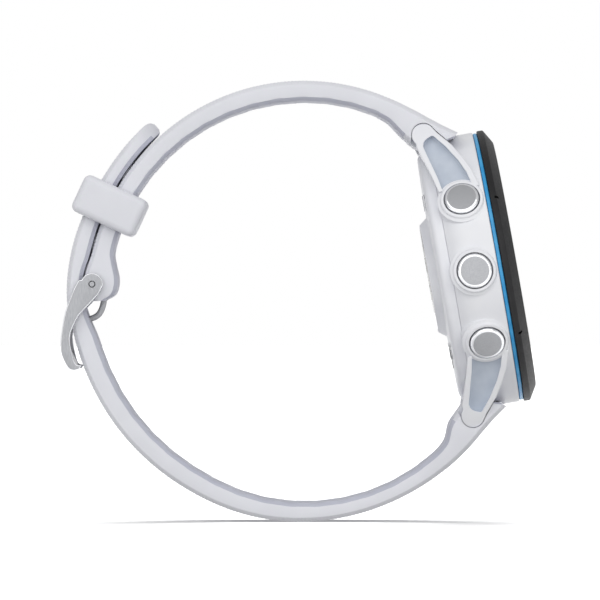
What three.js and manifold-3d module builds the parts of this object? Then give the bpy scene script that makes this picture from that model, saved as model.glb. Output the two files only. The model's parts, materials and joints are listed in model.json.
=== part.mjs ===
// Sports watch with a round case, five push buttons and a buckled two-piece band.
// Millimetres, +Z up. The watch stands on the bottom of its closed band, display towards +X.
//
// Everything is drawn in the case frame: x runs out of the display, y along the bar direction,
// z towards 12 o'clock, with its origin on the button axes at the middle of the case.
// The whole watch is then tilted about y and set down on the floor.

import * as THREE from 'three';
import { mergeVertices } from 'three/addons/utils/BufferGeometryUtils.js';
import Module from 'manifold-3d';

const wasm = await Module();
wasm.setup();

// ---------- driving dimensions ----------

const displayTilt = 10.04;        // degrees the display leans back when the watch stands up
const caseRadius = 23.1;
const caseWall = 2.8;
const bezelRim = 2.9;             // sloping edge of the bezel round the lens
const lensTop = 7.15;             // front of the lens, from the button plane
const bezelShoulder = 5.75;       // where the bezel's sloping face meets its side
const caseTop = 3.92;
const ringHeight = 0.65;
const caseBottom = -3.8;          // seam between the case and the back cover
const backFace = -6.15;
const coverStep = 2.3;            // back cover set in from the case side
const sensorFace = -7.6;
const sensorRadius = 8.85;

const barReach = 0.9;             // strap bar axes beyond the case side
const lugDepth = -4.4;            // strap bar axis behind the button plane
const lugWall = 1.2;               // side of a lug beyond the strap's end
const strapWidth = 22.0;
const strapThickness = 3.5;
const tailThickness = 2.55;
const shoulderFlare = 2.2;        // each shoulder wider than the strap
const loopRadius = 32.9;          // inside of the closed band
const loopRise = 0.71;            // loop centre above the middle of the case
const barSetback = 1.38;          // strap bars outside the loop's inner surface
const chamfer = 0.75;             // long edges of the straps

const pinAngle = 166.6;           // buckle pin, round the loop from the display direction
const tailAngle = 120.9;          // free end of the long strap
const keeperAngle = 144.9;
const keeperLength = 6.75;
const keeperWall = 2.0;
const holePitch = 4.65;
const holeLength = 2.6;
const holeWidth = 5.0;
const holesTowardsTip = 6;
const holesTowardsLug = 9;

const buttonRadius = 2.9;
const buttonSpread = 31.4;        // degrees between neighbouring buttons on one side
const buttonProud = 0.9;          // face of a released button, beyond the case side
const buttonTravel = 0.45;
const collarWall = 0.75;
const stemRadius = 1.25;

const barRadius = 0.9;
const buckleBarRadius = 0.75;
const barTipRadius = 0.4;
const armWidth = 1.9;
const tongueWidth = 3.4;
const tongueThickness = 1.0;

const screwInset = 3.7;           // screw axes in from the wall of the case
const screwAngle = 50;            // from the y axis
const batteryHalf = 8.6;
const batteryBottom = -6.5;
const motorRadius = 4.0;
const contactPitch = 1.5;

// ---------- clearances ----------

const seam = 0.08;                // between flat faces that rest on each other
const gap = 0.3;                  // round anything that sits in a cut
const slip = 0.5;                 // between the two layers of the band

// ---------- derived sizes ----------

const bezelRadius = caseRadius + 0.1;
const lensRadius = bezelRadius - bezelRim;
const cavityRadius = caseRadius - caseWall;
const coverRadius = caseRadius - coverStep;
const buttonFace = caseRadius + buttonProud;
const collarRadius = buttonRadius + collarWall;
const screwCircle = cavityRadius - screwInset;
const barZ = caseRadius + barReach;
const halfStrap = strapWidth / 2;
const lugInner = halfStrap + 0.1;
const strapHalf = halfStrap - 0.2;
const meanBarRadius = loopRadius + barSetback;
const loopX = lugDepth - Math.sqrt(meanBarRadius ** 2 - barZ ** 2);
const loopZ = loopRise;
const outerRadius = loopRadius + strapThickness;
const tailInner = outerRadius + slip;
const pinRadius = outerRadius - 0.65;
const pinBore = buckleBarRadius + gap;
const bulbOuter = pinRadius + pinBore + 0.3;
const upperBarAngle = degrees(Math.atan2(barZ - loopZ, lugDepth - loopX));
const lowerBarAngle = 360 - degrees(Math.atan2(barZ + loopZ, lugDepth - loopX));
const upperBarLoop = Math.hypot(barZ - loopZ, lugDepth - loopX);
const lowerBarLoop = Math.hypot(barZ + loopZ, lugDepth - loopX);
const tongueHoleAngle = pinAngle + along(6.23);
const ringBottom = caseTop + seam;
const ringTop = ringBottom + ringHeight;
const bezelBottom = ringTop + seam;
const lensBottom = lensTop - 1.35;
const ledgeTop = lensBottom - seam;

// ---------- colours ----------

function paint(color, roughness, metalness) {
  return new THREE.MeshStandardMaterial({ color, roughness, metalness });
}

const whitePlastic = paint(0xeef0f3, 0.45, 0);
const strapSilicone = paint(0xe4e5ec, 0.6, 0);
const blackPlastic = paint(0x2d2d30, 0.4, 0);
const bluePlastic = paint(0x2d8ccd, 0.35, 0);
const lensGlass = paint(0x10141a, 0.05, 0);
const steel = paint(0xb9bcc0, 0.3, 1);
const darkBoard = paint(0x1f4a33, 0.6, 0);
const batteryFoil = paint(0x9aa0a6, 0.4, 1);
const blackRubber = paint(0x1a1a1a, 0.8, 0);
const goldContact = paint(0xd9b35c, 0.3, 1);

// ---------- helpers ----------

function degrees(radians) {
  return radians * 180 / Math.PI;
}

function radians(angle) {
  return angle * Math.PI / 180;
}

function solidOf(geometry) {
  const bare = geometry.clone();
  bare.deleteAttribute('normal');
  bare.deleteAttribute('uv');
  const merged = mergeVertices(bare);
  const mesh = new wasm.Mesh({
    numProp: 3,
    vertProperties: new Float32Array(merged.attributes.position.array),
    triVerts: new Uint32Array(merged.index.array),
  });
  return new wasm.Manifold(mesh);
}

function geometryOf(solid) {
  const mesh = solid.getMesh();
  const geometry = new THREE.BufferGeometry();
  geometry.setAttribute('position', new THREE.BufferAttribute(mesh.vertProperties, 3));
  geometry.setIndex(new THREE.BufferAttribute(mesh.triVerts, 1));
  geometry.computeVertexNormals();
  return geometry;
}

function cut(body, ...tools) {
  return tools.reduce((solid, tool) => solid.subtract(solidOf(tool)), asSolid(body));
}

function join(body, ...others) {
  return others.reduce((solid, other) => solid.add(asSolid(other)), asSolid(body));
}

function asSolid(shape) {
  return shape instanceof THREE.BufferGeometry ? solidOf(shape) : shape;
}

// A body turned about the case axis from [radius, x] corners.
function turned(corners, segments = 48) {
  const lathe = new THREE.LatheGeometry(corners.map(([r, x]) => new THREE.Vector2(r, x)), segments);
  return lathe.rotateZ(-Math.PI / 2);
}

// A ring or plate with a rectangular half section.
function ring(inner, outer, low, high, segments = 48) {
  const corners = [[inner, low], [outer, low], [outer, high], [inner, high]];
  if (inner > 0) corners.push([inner, low]);
  return turned(corners, segments);
}

// A rod along y between two ends.
function rodY(radius, from, to, x = 0, z = 0, segments = 16) {
  const rod = new THREE.CylinderGeometry(radius, radius, to - from, segments);
  return rod.translate(x, (from + to) / 2, z);
}

// A rod along x between two ends.
function rodX(radius, from, to, y = 0, z = 0, segments = 16) {
  const rod = new THREE.CylinderGeometry(radius, radius, to - from, segments).rotateZ(-Math.PI / 2);
  return rod.translate((from + to) / 2, y, z);
}

function block(x0, x1, y0, y1, z0, z1) {
  const box = new THREE.BoxGeometry(x1 - x0, y1 - y0, z1 - z0);
  return box.translate((x0 + x1) / 2, (y0 + y1) / 2, (z0 + z1) / 2);
}

// A side outline in the xz plane, given width along y and chamfered along both sides.
function sideExtrude(points, width, bevel = 0, middle = 0) {
  const shape = new THREE.Shape(points.map(([x, z]) => new THREE.Vector2(x, z)));
  const extrusion = new THREE.ExtrudeGeometry(shape, {
    depth: width - 2 * bevel,
    bevelEnabled: bevel > 0,
    bevelThickness: bevel,
    bevelSize: bevel,
    bevelOffset: -bevel,
    bevelSegments: 1,
    curveSegments: 1,
    steps: 1,
  });
  extrusion.translate(0, 0, bevel - width / 2);
  return extrusion.rotateX(Math.PI / 2).translate(0, middle, 0);
}

// A point on the loop, from its centre.
function onLoop(radius, angle) {
  const turn = radians(angle);
  return [loopX + radius * Math.cos(turn), loopZ + radius * Math.sin(turn)];
}

// Degrees round the loop for a length along the band's outer surface.
function along(length) {
  return degrees(length / outerRadius);
}

// A smooth edge of the band through [angle, radius] stations round the loop.
function bandEdge(stations, pieces) {
  const points = stations.map(([angle, r]) => new THREE.Vector3(angle, r, 0));
  const curve = new THREE.CatmullRomCurve3(points, false, 'centripetal');
  return curve.getSpacedPoints(pieces).map((p) => onLoop(p.y, p.x));
}

// Spins a geometry drawn on the -y side round the case axis to a button's place.
function atButton(geometry, side, turn) {
  const angle = side > 0 ? Math.PI + radians(turn) : -radians(turn);
  return geometry.rotateX(angle);
}

function mirroredInZ(points) {
  return points.map(([x, z]) => [x, -z]).reverse();
}

// ---------- case ----------

const buttons = [
  { name: 'light', side: -1, turn: buttonSpread },
  { name: 'up', side: -1, turn: 0 },
  { name: 'down', side: -1, turn: -buttonSpread },
  { name: 'start', side: 1, turn: buttonSpread },
  { name: 'back', side: 1, turn: -buttonSpread },
];
const counterboreFloor = buttonFace - 2.15;
const collarFace = buttonFace - 0.5;

// Side view of a lug, front surface first, then round the tip to the wrist side.
const lugTipRadius = 1.95;
const lugSlope = radians(27);
const pocketDepth = 1.8;
const lugOutline = [
  [3.4, barZ - 10], [2.5, barZ - 7], [1.5, barZ - 5], [0, barZ - 2.5], [-2.1, barZ],
  ...arcPoints(lugDepth, barZ, lugTipRadius, 42, 180, 8),
  [-5.9, barZ - 1.9], [-5.2, barZ - 4.2], [-4.3, barZ - 7.2], [-3.6, barZ - 10],
];
const pocketOutline = [
  [-2.7, barZ - 11], [-3.4, barZ - 7.4], [-4.2, barZ - 4.4], [-4.8, barZ - 2.0], [-3.9, barZ - 0.7],
  [-2.9, barZ - 0.3], [-1.1, barZ - 2.5], [0.6, barZ - 5.2], [1.6, barZ - 7.4], [2.5, barZ - 11],
];

function arcPoints(x, z, radius, from, sweep, pieces) {
  const points = [];
  for (let i = 0; i <= pieces; i += 1) {
    const turn = radians(from + sweep * i / pieces);
    points.push([x + radius * Math.cos(turn), z + radius * Math.sin(turn)]);
  }
  return points;
}

// Plan outline that narrows towards the lug tips, less an inset from its sloping sides.
function lugPlan(inset) {
  const tipHalf = lugInner + lugWall - inset;
  const rootHalf = tipHalf + (barZ + 3 - cavityRadius * 0.5) * Math.tan(lugSlope);
  const tip = barZ + 3;
  const root = cavityRadius * 0.5;
  const corners = [[tipHalf, tip], [rootHalf, root], [rootHalf, -root], [tipHalf, -tip]];
  const outline = [...corners, ...corners.map(([y, z]) => [-y, z]).reverse()];
  const shape = new THREE.Shape(outline.map(([y, z]) => new THREE.Vector2(y, z)));
  const slab = new THREE.ExtrudeGeometry(shape, { depth: 24, bevelEnabled: false });
  return slab.rotateX(Math.PI / 2).rotateZ(Math.PI / 2).translate(-12, 0, 0);
}

function lugs() {
  const wide = 4 * halfStrap;
  const pair = join(sideExtrude(lugOutline, wide), sideExtrude(mirroredInZ(lugOutline), wide));
  return cut(pair.intersect(solidOf(lugPlan(0))), ring(0, cavityRadius + 0.5, -12, 12));
}

function lugPockets() {
  const wide = 4 * halfStrap;
  const pair = join(sideExtrude(pocketOutline, wide), sideExtrude(mirroredInZ(pocketOutline), wide));
  return pair.subtract(solidOf(lugPlan(pocketDepth)));
}

// Space between the lugs for a strap's end, with clearance round it.
const strapSlot = [
  [-12, barZ + 6], [-12, barZ - 2.95], [lugDepth, barZ - 2.95], [-2.0, barZ - 2.35],
  [0.2, barZ - 1.9], [1.0, barZ - 1.75], [1.9, barZ - 1.1], [1.9, barZ + 6],
];

function midCase() {
  const shell = turned([
    [cavityRadius, caseBottom], [caseRadius - 1.9, caseBottom], [caseRadius - 0.9, caseBottom + 1.2],
    [caseRadius - 0.3, caseBottom + 2.8], [caseRadius, caseBottom + 5.0], [caseRadius, caseTop],
    [cavityRadius - 1, caseTop], [cavityRadius - 1, caseTop - 1.4], [cavityRadius, caseTop - 1.4],
    [cavityRadius, caseBottom],
  ], 48);
  let body = join(shell, lugs()).subtract(lugPockets());
  for (const { side, turn } of buttons) {
    const collar = rodY(collarRadius, -collarFace, -cavityRadius - 0.6, 0, 0, 18);
    const above = rodY(collarRadius, -collarFace - 4, -collarFace, 0, 0, 18);
    body = cut(body.add(solidOf(atButton(collar, side, turn))), atButton(above, side, turn));
  }
  for (const [y, z] of screwPlaces()) {
    const foot = cavityRadius + gap;
    const post = block(caseBottom + 1, 0.6, -postWidth / 2, postWidth / 2, screwCircle - postReach, foot);
    body = body.add(solidOf(post.rotateX(Math.atan2(-y, z))));
  }
  body = cut(body, ring(0, cavityRadius, caseBottom - 5, caseBottom + 1));
  body = cut(body, ring(0, coverRadius + gap, caseBottom - 8, caseBottom));
  body = cut(body, ring(0, buttonFace + 1, caseTop, caseTop + 2 * buttonRadius));
  body = cut(body, sideExtrude(strapSlot, 2 * lugInner), sideExtrude(mirroredInZ(strapSlot), 2 * lugInner));
  for (const end of [barZ, -barZ]) {
    body = cut(body, rodY(barTipRadius + gap, -lugInner - 1.2, lugInner + 1.2, lugDepth, end, 12));
  }
  for (const { side, turn } of buttons) {
    const headBore = rodY(buttonRadius + 0.2, -buttonFace - 1, -counterboreFloor, 0, 0, 16);
    const stemBore = rodY(stemRadius + 0.35, -buttonFace, -cavityRadius + 3, 0, 0, 10);
    body = cut(body, atButton(headBore, side, turn), atButton(stemBore, side, turn));
  }
  for (const [y, z] of screwPlaces()) {
    body = cut(body, rodX(screwShank + gap, caseBottom, -0.4, y, z, 12));
  }
  return body;
}

// ---------- front ----------

function bezel() {
  const body = turned([
    [cavityRadius - 0.4, bezelBottom], [bezelRadius, bezelBottom], [bezelRadius, bezelShoulder],
    [lensRadius + 0.5, lensTop], [lensRadius + gap, lensTop], [lensRadius + gap, ledgeTop],
    [cavityRadius - 0.4, ledgeTop], [cavityRadius - 0.4, bezelBottom],
  ], 48);
  return cut(body, ...[-120, -60, 60, 120].map(bezelNotch));
}

// A short radial groove in the sloping face of the bezel, at an angle from 12 o'clock.
function bezelNotch(angle) {
  const run = bezelRadius - lensRadius - 0.5;
  const slope = Math.atan2(lensTop - bezelShoulder, run);
  const groove = block(-0.25, 0.6, -0.22, 0.22, -run * 0.8, 0.4).rotateY(slope);
  return groove.translate(bezelShoulder, 0, bezelRadius).rotateX(radians(angle));
}

const lens = () => turned([
  [0, lensBottom], [lensRadius, lensBottom], [lensRadius, lensTop - 0.15],
  [lensRadius - 0.15, lensTop], [0, lensTop],
]);
const accentRing = () => ring(cavityRadius + 0.6, caseRadius - 0.3, ringBottom, ringTop);
const displayPanel = () => ring(0, cavityRadius - 0.8, bezelBottom - 0.25, ledgeTop - seam, 40);

// ---------- inside ----------

const postReach = 1.9;
const postWidth = 3.6;
const motorMiddle = batteryBottom - 0.7 - motorRadius;
const chassis = () => {
  const plate = ring(0, cavityRadius - 1.4, caseTop - 1.35, caseTop - 0.15, 36);
  return cut(plate, block(0, caseTop + 1, -6, 6, motorMiddle - motorRadius, motorMiddle));
};
const mainBoard = () => ring(0, screwCircle, 1.25, 2.1, 32);
const motor = () => rodX(motorRadius, -2.5, 0.5, 0, motorMiddle, 24);

// The battery's top corners stop short of the screw posts.
function battery() {
  const turn = radians(screwAngle);
  const reach = screwCircle - postReach - 2 * gap;
  const top = (reach - batteryHalf * Math.cos(turn)) / Math.sin(turn);
  return block(-2.9, 0.9, -batteryHalf, batteryHalf, batteryBottom, top);
}
const sensorBoard = () => ring(0, sensorRadius - 1.6, backFace - 0.25, backFace + 0.55, 28);

// ---------- back ----------

const spigotRadius = cavityRadius - 0.9;
const gasketSection = 0.3;
const screwShank = 0.8;
const screwHead = 1.35;

function screwPlaces() {
  const turn = radians(screwAngle);
  const y = screwCircle * Math.cos(turn);
  const z = screwCircle * Math.sin(turn);
  return [[y, z], [-y, z], [-y, -z], [y, -z]];
}

const plateauSkirt = 1.5;         // slope round the sensor window
const socketHalf = 2.0;
const socket = { y: 3.6, z: socketHalf, middle: -(sensorRadius + plateauSkirt + 1.25 + socketHalf) };

function backCover() {
  const coverTop = caseBottom - 0.15;
  const body = turned([
    [sensorRadius - 1.2, backFace - 0.55], [sensorRadius + gap, backFace - 0.55],
    [sensorRadius + gap, sensorFace + 0.35], [sensorRadius + 0.5, sensorFace + 0.35],
    [sensorRadius + plateauSkirt, backFace], [coverRadius - 1.1, backFace + 0.3],
    [coverRadius - 0.2, backFace + 1.0], [coverRadius, coverTop], [spigotRadius, coverTop],
    [spigotRadius, coverTop + 0.9], [spigotRadius - 0.6, coverTop + 0.9],
    [spigotRadius - 0.6, backFace + 1.0], [sensorRadius - 1.2, backFace + 1.0],
    [sensorRadius - 1.2, backFace - 0.55],
  ], 40);
  let cover = asSolid(body);
  cover = cut(cover, block(-9, 0, -socket.y - gap, socket.y + gap,
    socket.middle - socket.z - gap, socket.middle + socket.z + gap));
  for (const [y, z] of screwPlaces()) {
    cover = cut(cover, rodX(screwShank + gap, backFace - 2, 0, y, z, 12));
    cover = cut(cover, rodX(screwHead + 0.25, backFace - 2, backFace + 0.55, y, z, 12));
  }
  return cover;
}

const backGasket = () => {
  const turns = new THREE.TorusGeometry(spigotRadius + 0.08 + gasketSection, gasketSection, 5, 32);
  return turns.rotateY(Math.PI / 2).translate(caseBottom + 0.35, 0, 0);
};

const sensorWindow = () => turned([
  [0, backFace - 0.65], [sensorRadius, backFace - 0.65], [sensorRadius, sensorFace + 0.3],
  [sensorRadius - 0.3, sensorFace], [0, sensorFace],
].reverse(), 32);

function screw(y, z) {
  const head = rodX(screwHead, backFace + 0.02, backFace + 0.47, y, z, 12);
  const shank = rodX(screwShank, backFace + 0.3, -0.9, y, z, 10);
  const recess = rodX(0.6, backFace - 1, backFace + 0.3, y, z, 6);
  return cut(join(head, shank), recess);
}

function chargeSocket() {
  const { y, z, middle } = socket;
  const body = block(backFace + 0.05, backFace + 1.9, -y, y, middle - z, middle + z);
  const rim = 0.6;
  const well = block(backFace - 1, backFace + 0.9, -y + rim, y - rim, middle - z + rim, middle + z - rim);
  return cut(body, well);
}

function contact(i) {
  const y = (i - 1.5) * contactPitch;
  return rodX(0.45, backFace + 0.4, backFace + 0.9 - seam, y, socket.middle, 8);
}

// ---------- buttons ----------

const stemEnd = cavityRadius - 1.0;
const clipOuter = cavityRadius - 0.4;
const clipInner = clipOuter - 0.3;
const sealPlace = counterboreFloor - 0.75;
const sealSection = 0.28;
const grooveRadius = 0.82;

// Head, stem, seal groove and clip groove, turned about y and facing -y.
function buttonCap() {
  const profile = [
    [0, -buttonFace], [buttonRadius - 0.45, -buttonFace], [buttonRadius - 0.1, -buttonFace + 0.15],
    [buttonRadius, -buttonFace + 0.45], [buttonRadius, -buttonFace + 1.4],
    [stemRadius, -buttonFace + 1.4],
    [stemRadius, -sealPlace - 0.38], [grooveRadius, -sealPlace - 0.38], [grooveRadius, -sealPlace + 0.38],
    [stemRadius, -sealPlace + 0.38], [stemRadius, -clipOuter - 0.05], [0.75, -clipOuter - 0.05],
    [0.75, -clipInner + 0.05], [stemRadius, -clipInner + 0.05], [stemRadius, -stemEnd], [0, -stemEnd],
  ];
  return new THREE.LatheGeometry(profile.map(([r, y]) => new THREE.Vector2(r, y)), 14);
}

const buttonSeal = () => {
  const hoop = new THREE.TorusGeometry(grooveRadius + 0.05 + sealSection, sealSection, 5, 12);
  return hoop.rotateX(Math.PI / 2).translate(0, -sealPlace, 0);
};

function buttonClip() {
  const outer = arcPoints(0, 0, 1.85, 35, 290, 8);
  const inner = arcPoints(0, 0, 1.0, 325, -290, 7);
  const thickness = clipOuter - clipInner;
  return sideExtrude([...outer, ...inner], thickness, 0, -(clipOuter + clipInner) / 2);
}

function domeSwitch() {
  const top = stemEnd - buttonTravel - 0.1;
  const base = block(-1.6, 1.6, -top + 0.3, -top + 0.9, -1.6, 1.6);
  return join(base, rodY(1.1, -top, -top + 0.5, 0, 0, 12));
}

// ---------- strap bars ----------

const tubeBore = 0.6;
const pinThrow = 1.2;
const tipReach = 0.8;
const tubeHalf = strapHalf - 0.2;
const leverPlace = -tubeHalf + 3.2;

function barTube(z) {
  const tube = cut(rodY(barRadius, -tubeHalf, tubeHalf, lugDepth, z, 16),
    rodY(tubeBore, -tubeHalf - 1, tubeHalf + 1, lugDepth, z, 12));
  const width = 0.65;
  const end = leverPlace + 0.7 + pinThrow;
  const slot = block(lugDepth - 2, lugDepth, leverPlace - 0.7, end, z - width, z + width);
  return cut(tube, slot);
}

function barLever(z) {
  const pin = rodY(barTipRadius, -lugInner - tipReach, leverPlace + 1.2, lugDepth, z, 12);
  const post = rodX(barTipRadius, lugDepth - 1.9, lugDepth, leverPlace, z, 12);
  const knob = rodX(0.75, lugDepth - 2.3, lugDepth - 1.7, leverPlace, z, 12);
  return join(pin, post, knob);
}

const barTip = (z) => rodY(barTipRadius, tubeHalf - 4, lugInner + tipReach, lugDepth, z, 12);

// ---------- straps ----------

// Widens a strap towards its lug so that its shoulders cover the lug tips.
function flareShoulders(geometry, barSide) {
  const reach = 15;
  const position = geometry.attributes.position;
  for (let i = 0; i < position.count; i += 1) {
    const away = Math.hypot(position.getX(i) - lugDepth, position.getZ(i) - barSide);
    const share = THREE.MathUtils.clamp(1 - away / reach, 0, 1);
    const spread = 1 + shoulderFlare / halfStrap * share * share * (3 - 2 * share);
    position.setY(i, position.getY(i) * spread);
  }
  return geometry;
}

// Clears the shoulders away from a lug, and narrows the strap to fit between the lugs.
function lugClearance(barSide) {
  const side = Math.sign(barSide);
  const radius = lugTipRadius + gap + 0.05;
  const tip = rodY(radius, strapHalf, 40, lugDepth, barSide, 24);
  const back = [
    [-14, 0], [lugDepth - radius, barZ], [lugDepth + radius * 0.75, barZ + radius * 0.65],
    [-1.75, barZ + 0.3], [0.35, barZ - 2.2], [3, barZ - 6], [8, barZ - 12], [8, 0],
  ].map(([x, z]) => [x, z * side]);
  const outline = side > 0 ? back : back.reverse();
  const wedge = sideExtrude(outline, 30, 0, strapHalf + 15);
  const oneSide = join(tip, wedge);
  return oneSide.add(oneSide.mirror([0, 1, 0]));
}

function leverRecess(barSide) {
  const z = barSide;
  const way = 2 * pinThrow + 1.2;
  return block(lugDepth - 6, lugDepth, leverPlace - 1.25, leverPlace - 1.25 + way, z - 1.2, z + 1.2);
}

// Inner and outer edges of the short strap, from its lug round to the buckle.
function buckleStrap() {
  const a = upperBarAngle;
  const r = upperBarLoop;
  const middle = a + 0.366 * (pinAngle - a);
  const inner = bandEdge([
    [a + along(1.4), r - 2.45], [a + along(3.8), r - 2.0], [a + along(7.3), loopRadius - 0.2],
    [a + along(14), loopRadius + 0.05], [middle, loopRadius], [pinAngle - along(12.7), loopRadius],
    [pinAngle - along(6.04), loopRadius], [pinAngle - along(4), loopRadius - 0.6],
    [pinAngle - along(1.6), loopRadius - 1.35], [pinAngle + along(0.38), loopRadius - 1.4],
    [pinAngle + along(1.9), loopRadius - 0.8], [pinAngle + along(2.8), loopRadius + 0.6],
  ], 28);
  const outer = bandEdge([
    [pinAngle + along(3), pinRadius - 0.6], [pinAngle + along(2.35), bulbOuter - 0.55],
    [pinAngle + along(1.02), bulbOuter], [pinAngle - along(1.27), bulbOuter],
    [pinAngle - along(5.1), outerRadius + 0.12], [pinAngle - along(12.7), outerRadius], [middle, outerRadius],
    [a + along(12.7), outerRadius], [a + along(5.1), outerRadius], [a, r + 2.9],
  ], 26);
  return finishedStrap([...inner, ...outer, ...knuckle(1)], barZ);
}

// Round the bar and up to the case, the end of a strap between its lugs.
function knuckle(side) {
  const radius = 2.5;
  const wall = [[-1.0, barZ + 1.1], [1.4, barZ - 0.6], [0.6, barZ - 1.4]];
  const turn = arcPoints(lugDepth, barZ, radius, 300, -75, 3);
  const points = [...wall, ...turn];
  return points.map(([x, z]) => [x, z * side]);
}

function holeStrap() {
  const a = lowerBarAngle;
  const r = lowerBarLoop;
  const bulbTail = bulbOuter + gap;
  const stretch = (share) => pinAngle + share * (a - pinAngle);
  const inner = bandEdge([
    [tailAngle, tailInner + 0.5], [tailAngle + along(0.8), tailInner], [pinAngle - along(16.5), tailInner],
    [pinAngle - along(5.7), bulbTail - 0.02], [pinAngle + along(1.6), bulbTail],
    [pinAngle + along(5.1), bulbTail - 0.75], [pinAngle + along(9.5), outerRadius - 0.85],
    [pinAngle + along(20.3), loopRadius + 1.9], [stretch(0.405), loopRadius + 1.4],
    [stretch(0.561), loopRadius + 1.75], [stretch(0.73), loopRadius + 1.8],
    [stretch(0.865), loopRadius + 1.55],
    [a - along(7), loopRadius + 1.2], [a - along(3.8), r - 2.2], [a - along(1.4), r - 2.45],
  ], 44);
  const outer = bandEdge([
    [a, r + 2.9], [a - along(5.1), outerRadius + 1.25], [stretch(0.797), outerRadius + 1.25],
    [stretch(0.561), outerRadius + 1.65], [stretch(0.405), outerRadius + 1.65],
    [pinAngle + along(20.3), outerRadius + 2.25], [pinAngle + along(8.3), outerRadius + 2.95],
    [pinAngle + along(2.5), bulbTail + tailThickness + 0.05],
    [pinAngle - along(5.7), bulbTail + tailThickness],
    [pinAngle - along(16.5), tailInner + tailThickness], [tailAngle + along(1.9), tailInner + tailThickness],
    [tailAngle + along(0.4), tailInner + tailThickness - 0.85],
  ], 42);
  const outline = [...inner, ...knuckle(-1).reverse(), ...outer].reverse();
  let strap = finishedStrap(outline, -barZ);
  for (let i = -holesTowardsTip; i <= holesTowardsLug; i += 1) {
    const angle = tongueHoleAngle + degrees(i * holePitch / (tailInner + tailThickness / 2));
    strap = cut(strap, strapHole(angle));
  }
  return strap;
}

// A pill-shaped hole through the strap, long across the band.
function strapHole(angle) {
  const reach = (holeWidth - holeLength) / 2;
  const pill = new THREE.Shape();
  pill.absarc(reach, 0, holeLength / 2, -Math.PI / 2, Math.PI / 2);
  pill.absarc(-reach, 0, holeLength / 2, Math.PI / 2, Math.PI * 1.5);
  const drill = new THREE.ExtrudeGeometry(pill, { depth: 9, bevelEnabled: false, curveSegments: 3 });
  drill.rotateZ(Math.PI / 2).rotateY(Math.PI / 2).translate(loopRadius - 0.5, 0, 0);
  return drill.rotateY(-radians(angle)).translate(loopX, 0, loopZ);
}

function finishedStrap(outline, barSide) {
  const band = flareShoulders(sideExtrude(outline, strapWidth, chamfer), barSide);
  let strap = asSolid(band).subtract(lugClearance(barSide));
  strap = cut(strap, rodY(barRadius + gap, -20, 20, lugDepth, barSide, 16), leverRecess(barSide));
  return strap;
}

// ---------- buckle, drawn about its pin: x outwards, z along the band ----------

function buckleBore(strap) {
  const [x, z] = onLoop(pinRadius, pinAngle);
  const slot = block(-6, 6, -tongueWidth / 2 - gap, tongueWidth / 2 + gap, -2.4, 8);
  slot.rotateY(-radians(pinAngle)).translate(x, 0, z);
  return cut(strap, rodY(pinBore, -20, 20, x, z, 16), slot);
}

const armHead = 1.85;

function buckleOutline() {
  const head = arcPoints(0, 0, armHead, -20, -160, 8);
  const outerEdge = new THREE.SplineCurve([
    [2.3, -0.5], [3.12, 1.4], [4.2, 5.0], [4.62, 8.5], [4.68, 10.4], [4.45, 12.1], [3.3, 14.2],
    [2.3, 14.65], [1.35, 14.4],
  ].map(([x, z]) => new THREE.Vector2(x, z))).getPoints(13).map((p) => [p.x, p.y]);
  const innerEdge = new THREE.SplineCurve([
    [0.95, 13.75], [2.0, 13.5], [2.65, 11.8], [3.12, 10.0], [3.1, 8.3], [2.1, 5.7], [1.05, 4.27], [-0.1, 2.9],
    [-1.15, 1.65],
  ].map(([x, z]) => new THREE.Vector2(x, z))).getPoints(11).map((p) => [p.x, p.y]);
  return [...outerEdge, ...innerEdge, ...head.reverse()];
}

const frameInner = halfStrap + 0.45;

function buckleFrame() {
  const outline = buckleOutline();
  const middle = frameInner + armWidth / 2;
  const crossbarOutline = [
    [2.75, 12.3], [3.2, 11.4], [4.3, 11.5], [4.3, 12.4], [3.6, 13.6], [2.4, 14.2], [1.9, 14.0],
  ];
  let frame = join(
    sideExtrude(outline, armWidth, 0.25, -middle),
    sideExtrude(outline, armWidth, 0.25, middle),
    sideExtrude(crossbarOutline, 2 * frameInner + 1),
  );
  frame = cut(frame, rodY(barTipRadius + gap, -20, 20, 0, 0, 12));
  const rest = block(3.6, 6, -tongueWidth / 2 - gap, tongueWidth / 2 + gap, 8, 16);
  return cut(frame, rest);
}

function buckleBar() {
  const body = rodY(buckleBarRadius, -frameInner + 0.2, frameInner - 0.2, 0, 0, 16);
  return join(body, rodY(barTipRadius, -frameInner - armWidth + 0.1, frameInner + armWidth - 0.1, 0, 0, 12));
}

// The tongue turns round the bar, passes through a hole in the long strap and lies on the crossbar.
function buckleTongue() {
  const centre = new THREE.SplineCurve([
    [-1.6, 0.9], [-1.95, 2.3], [-1.75, 3.9], [-1.2, 5.05], [-0.3, 5.7], [1.2, 6.25], [2.7, 6.85],
    [3.6, 8.0], [4.1, 9.6], [4.3, 11.2], [4.35, 12.4],
  ].map(([x, z]) => new THREE.Vector2(x, z)));
  const half = tongueThickness / 2;
  const left = [];
  const right = [];
  for (let i = 0; i <= 16; i += 1) {
    const p = centre.getPoint(i / 16);
    const t = centre.getTangent(i / 16);
    const h = half * (i > 13 ? 1 - (i - 13) * 0.16 : 1);
    left.push([p.x - t.y * h, p.y + t.x * h]);
    right.push([p.x + t.y * h, p.y - t.x * h]);
  }
  const blade = sideExtrude([...right, ...left.reverse()], tongueWidth);
  const eye = rodY(pinBore + 0.65, -tongueWidth / 2, tongueWidth / 2, 0, 0, 16);
  return cut(join(blade, eye), rodY(pinBore - 0.1, -5, 5, 0, 0, 16));
}

function keeper() {
  const low = loopRadius - slip;
  const high = tailInner + tailThickness + slip;
  const span = high - low + 2 * keeperWall;
  const loop = roundedBlock(span, 2 * (halfStrap + 0.4 + keeperWall), keeperLength, 1.2);
  loop.translate((high + low) / 2, 0, 0);
  const opening = block(low, high, -halfStrap - 0.4, halfStrap + 0.4, -keeperLength, keeperLength);
  return cut(loop, opening);
}

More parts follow.
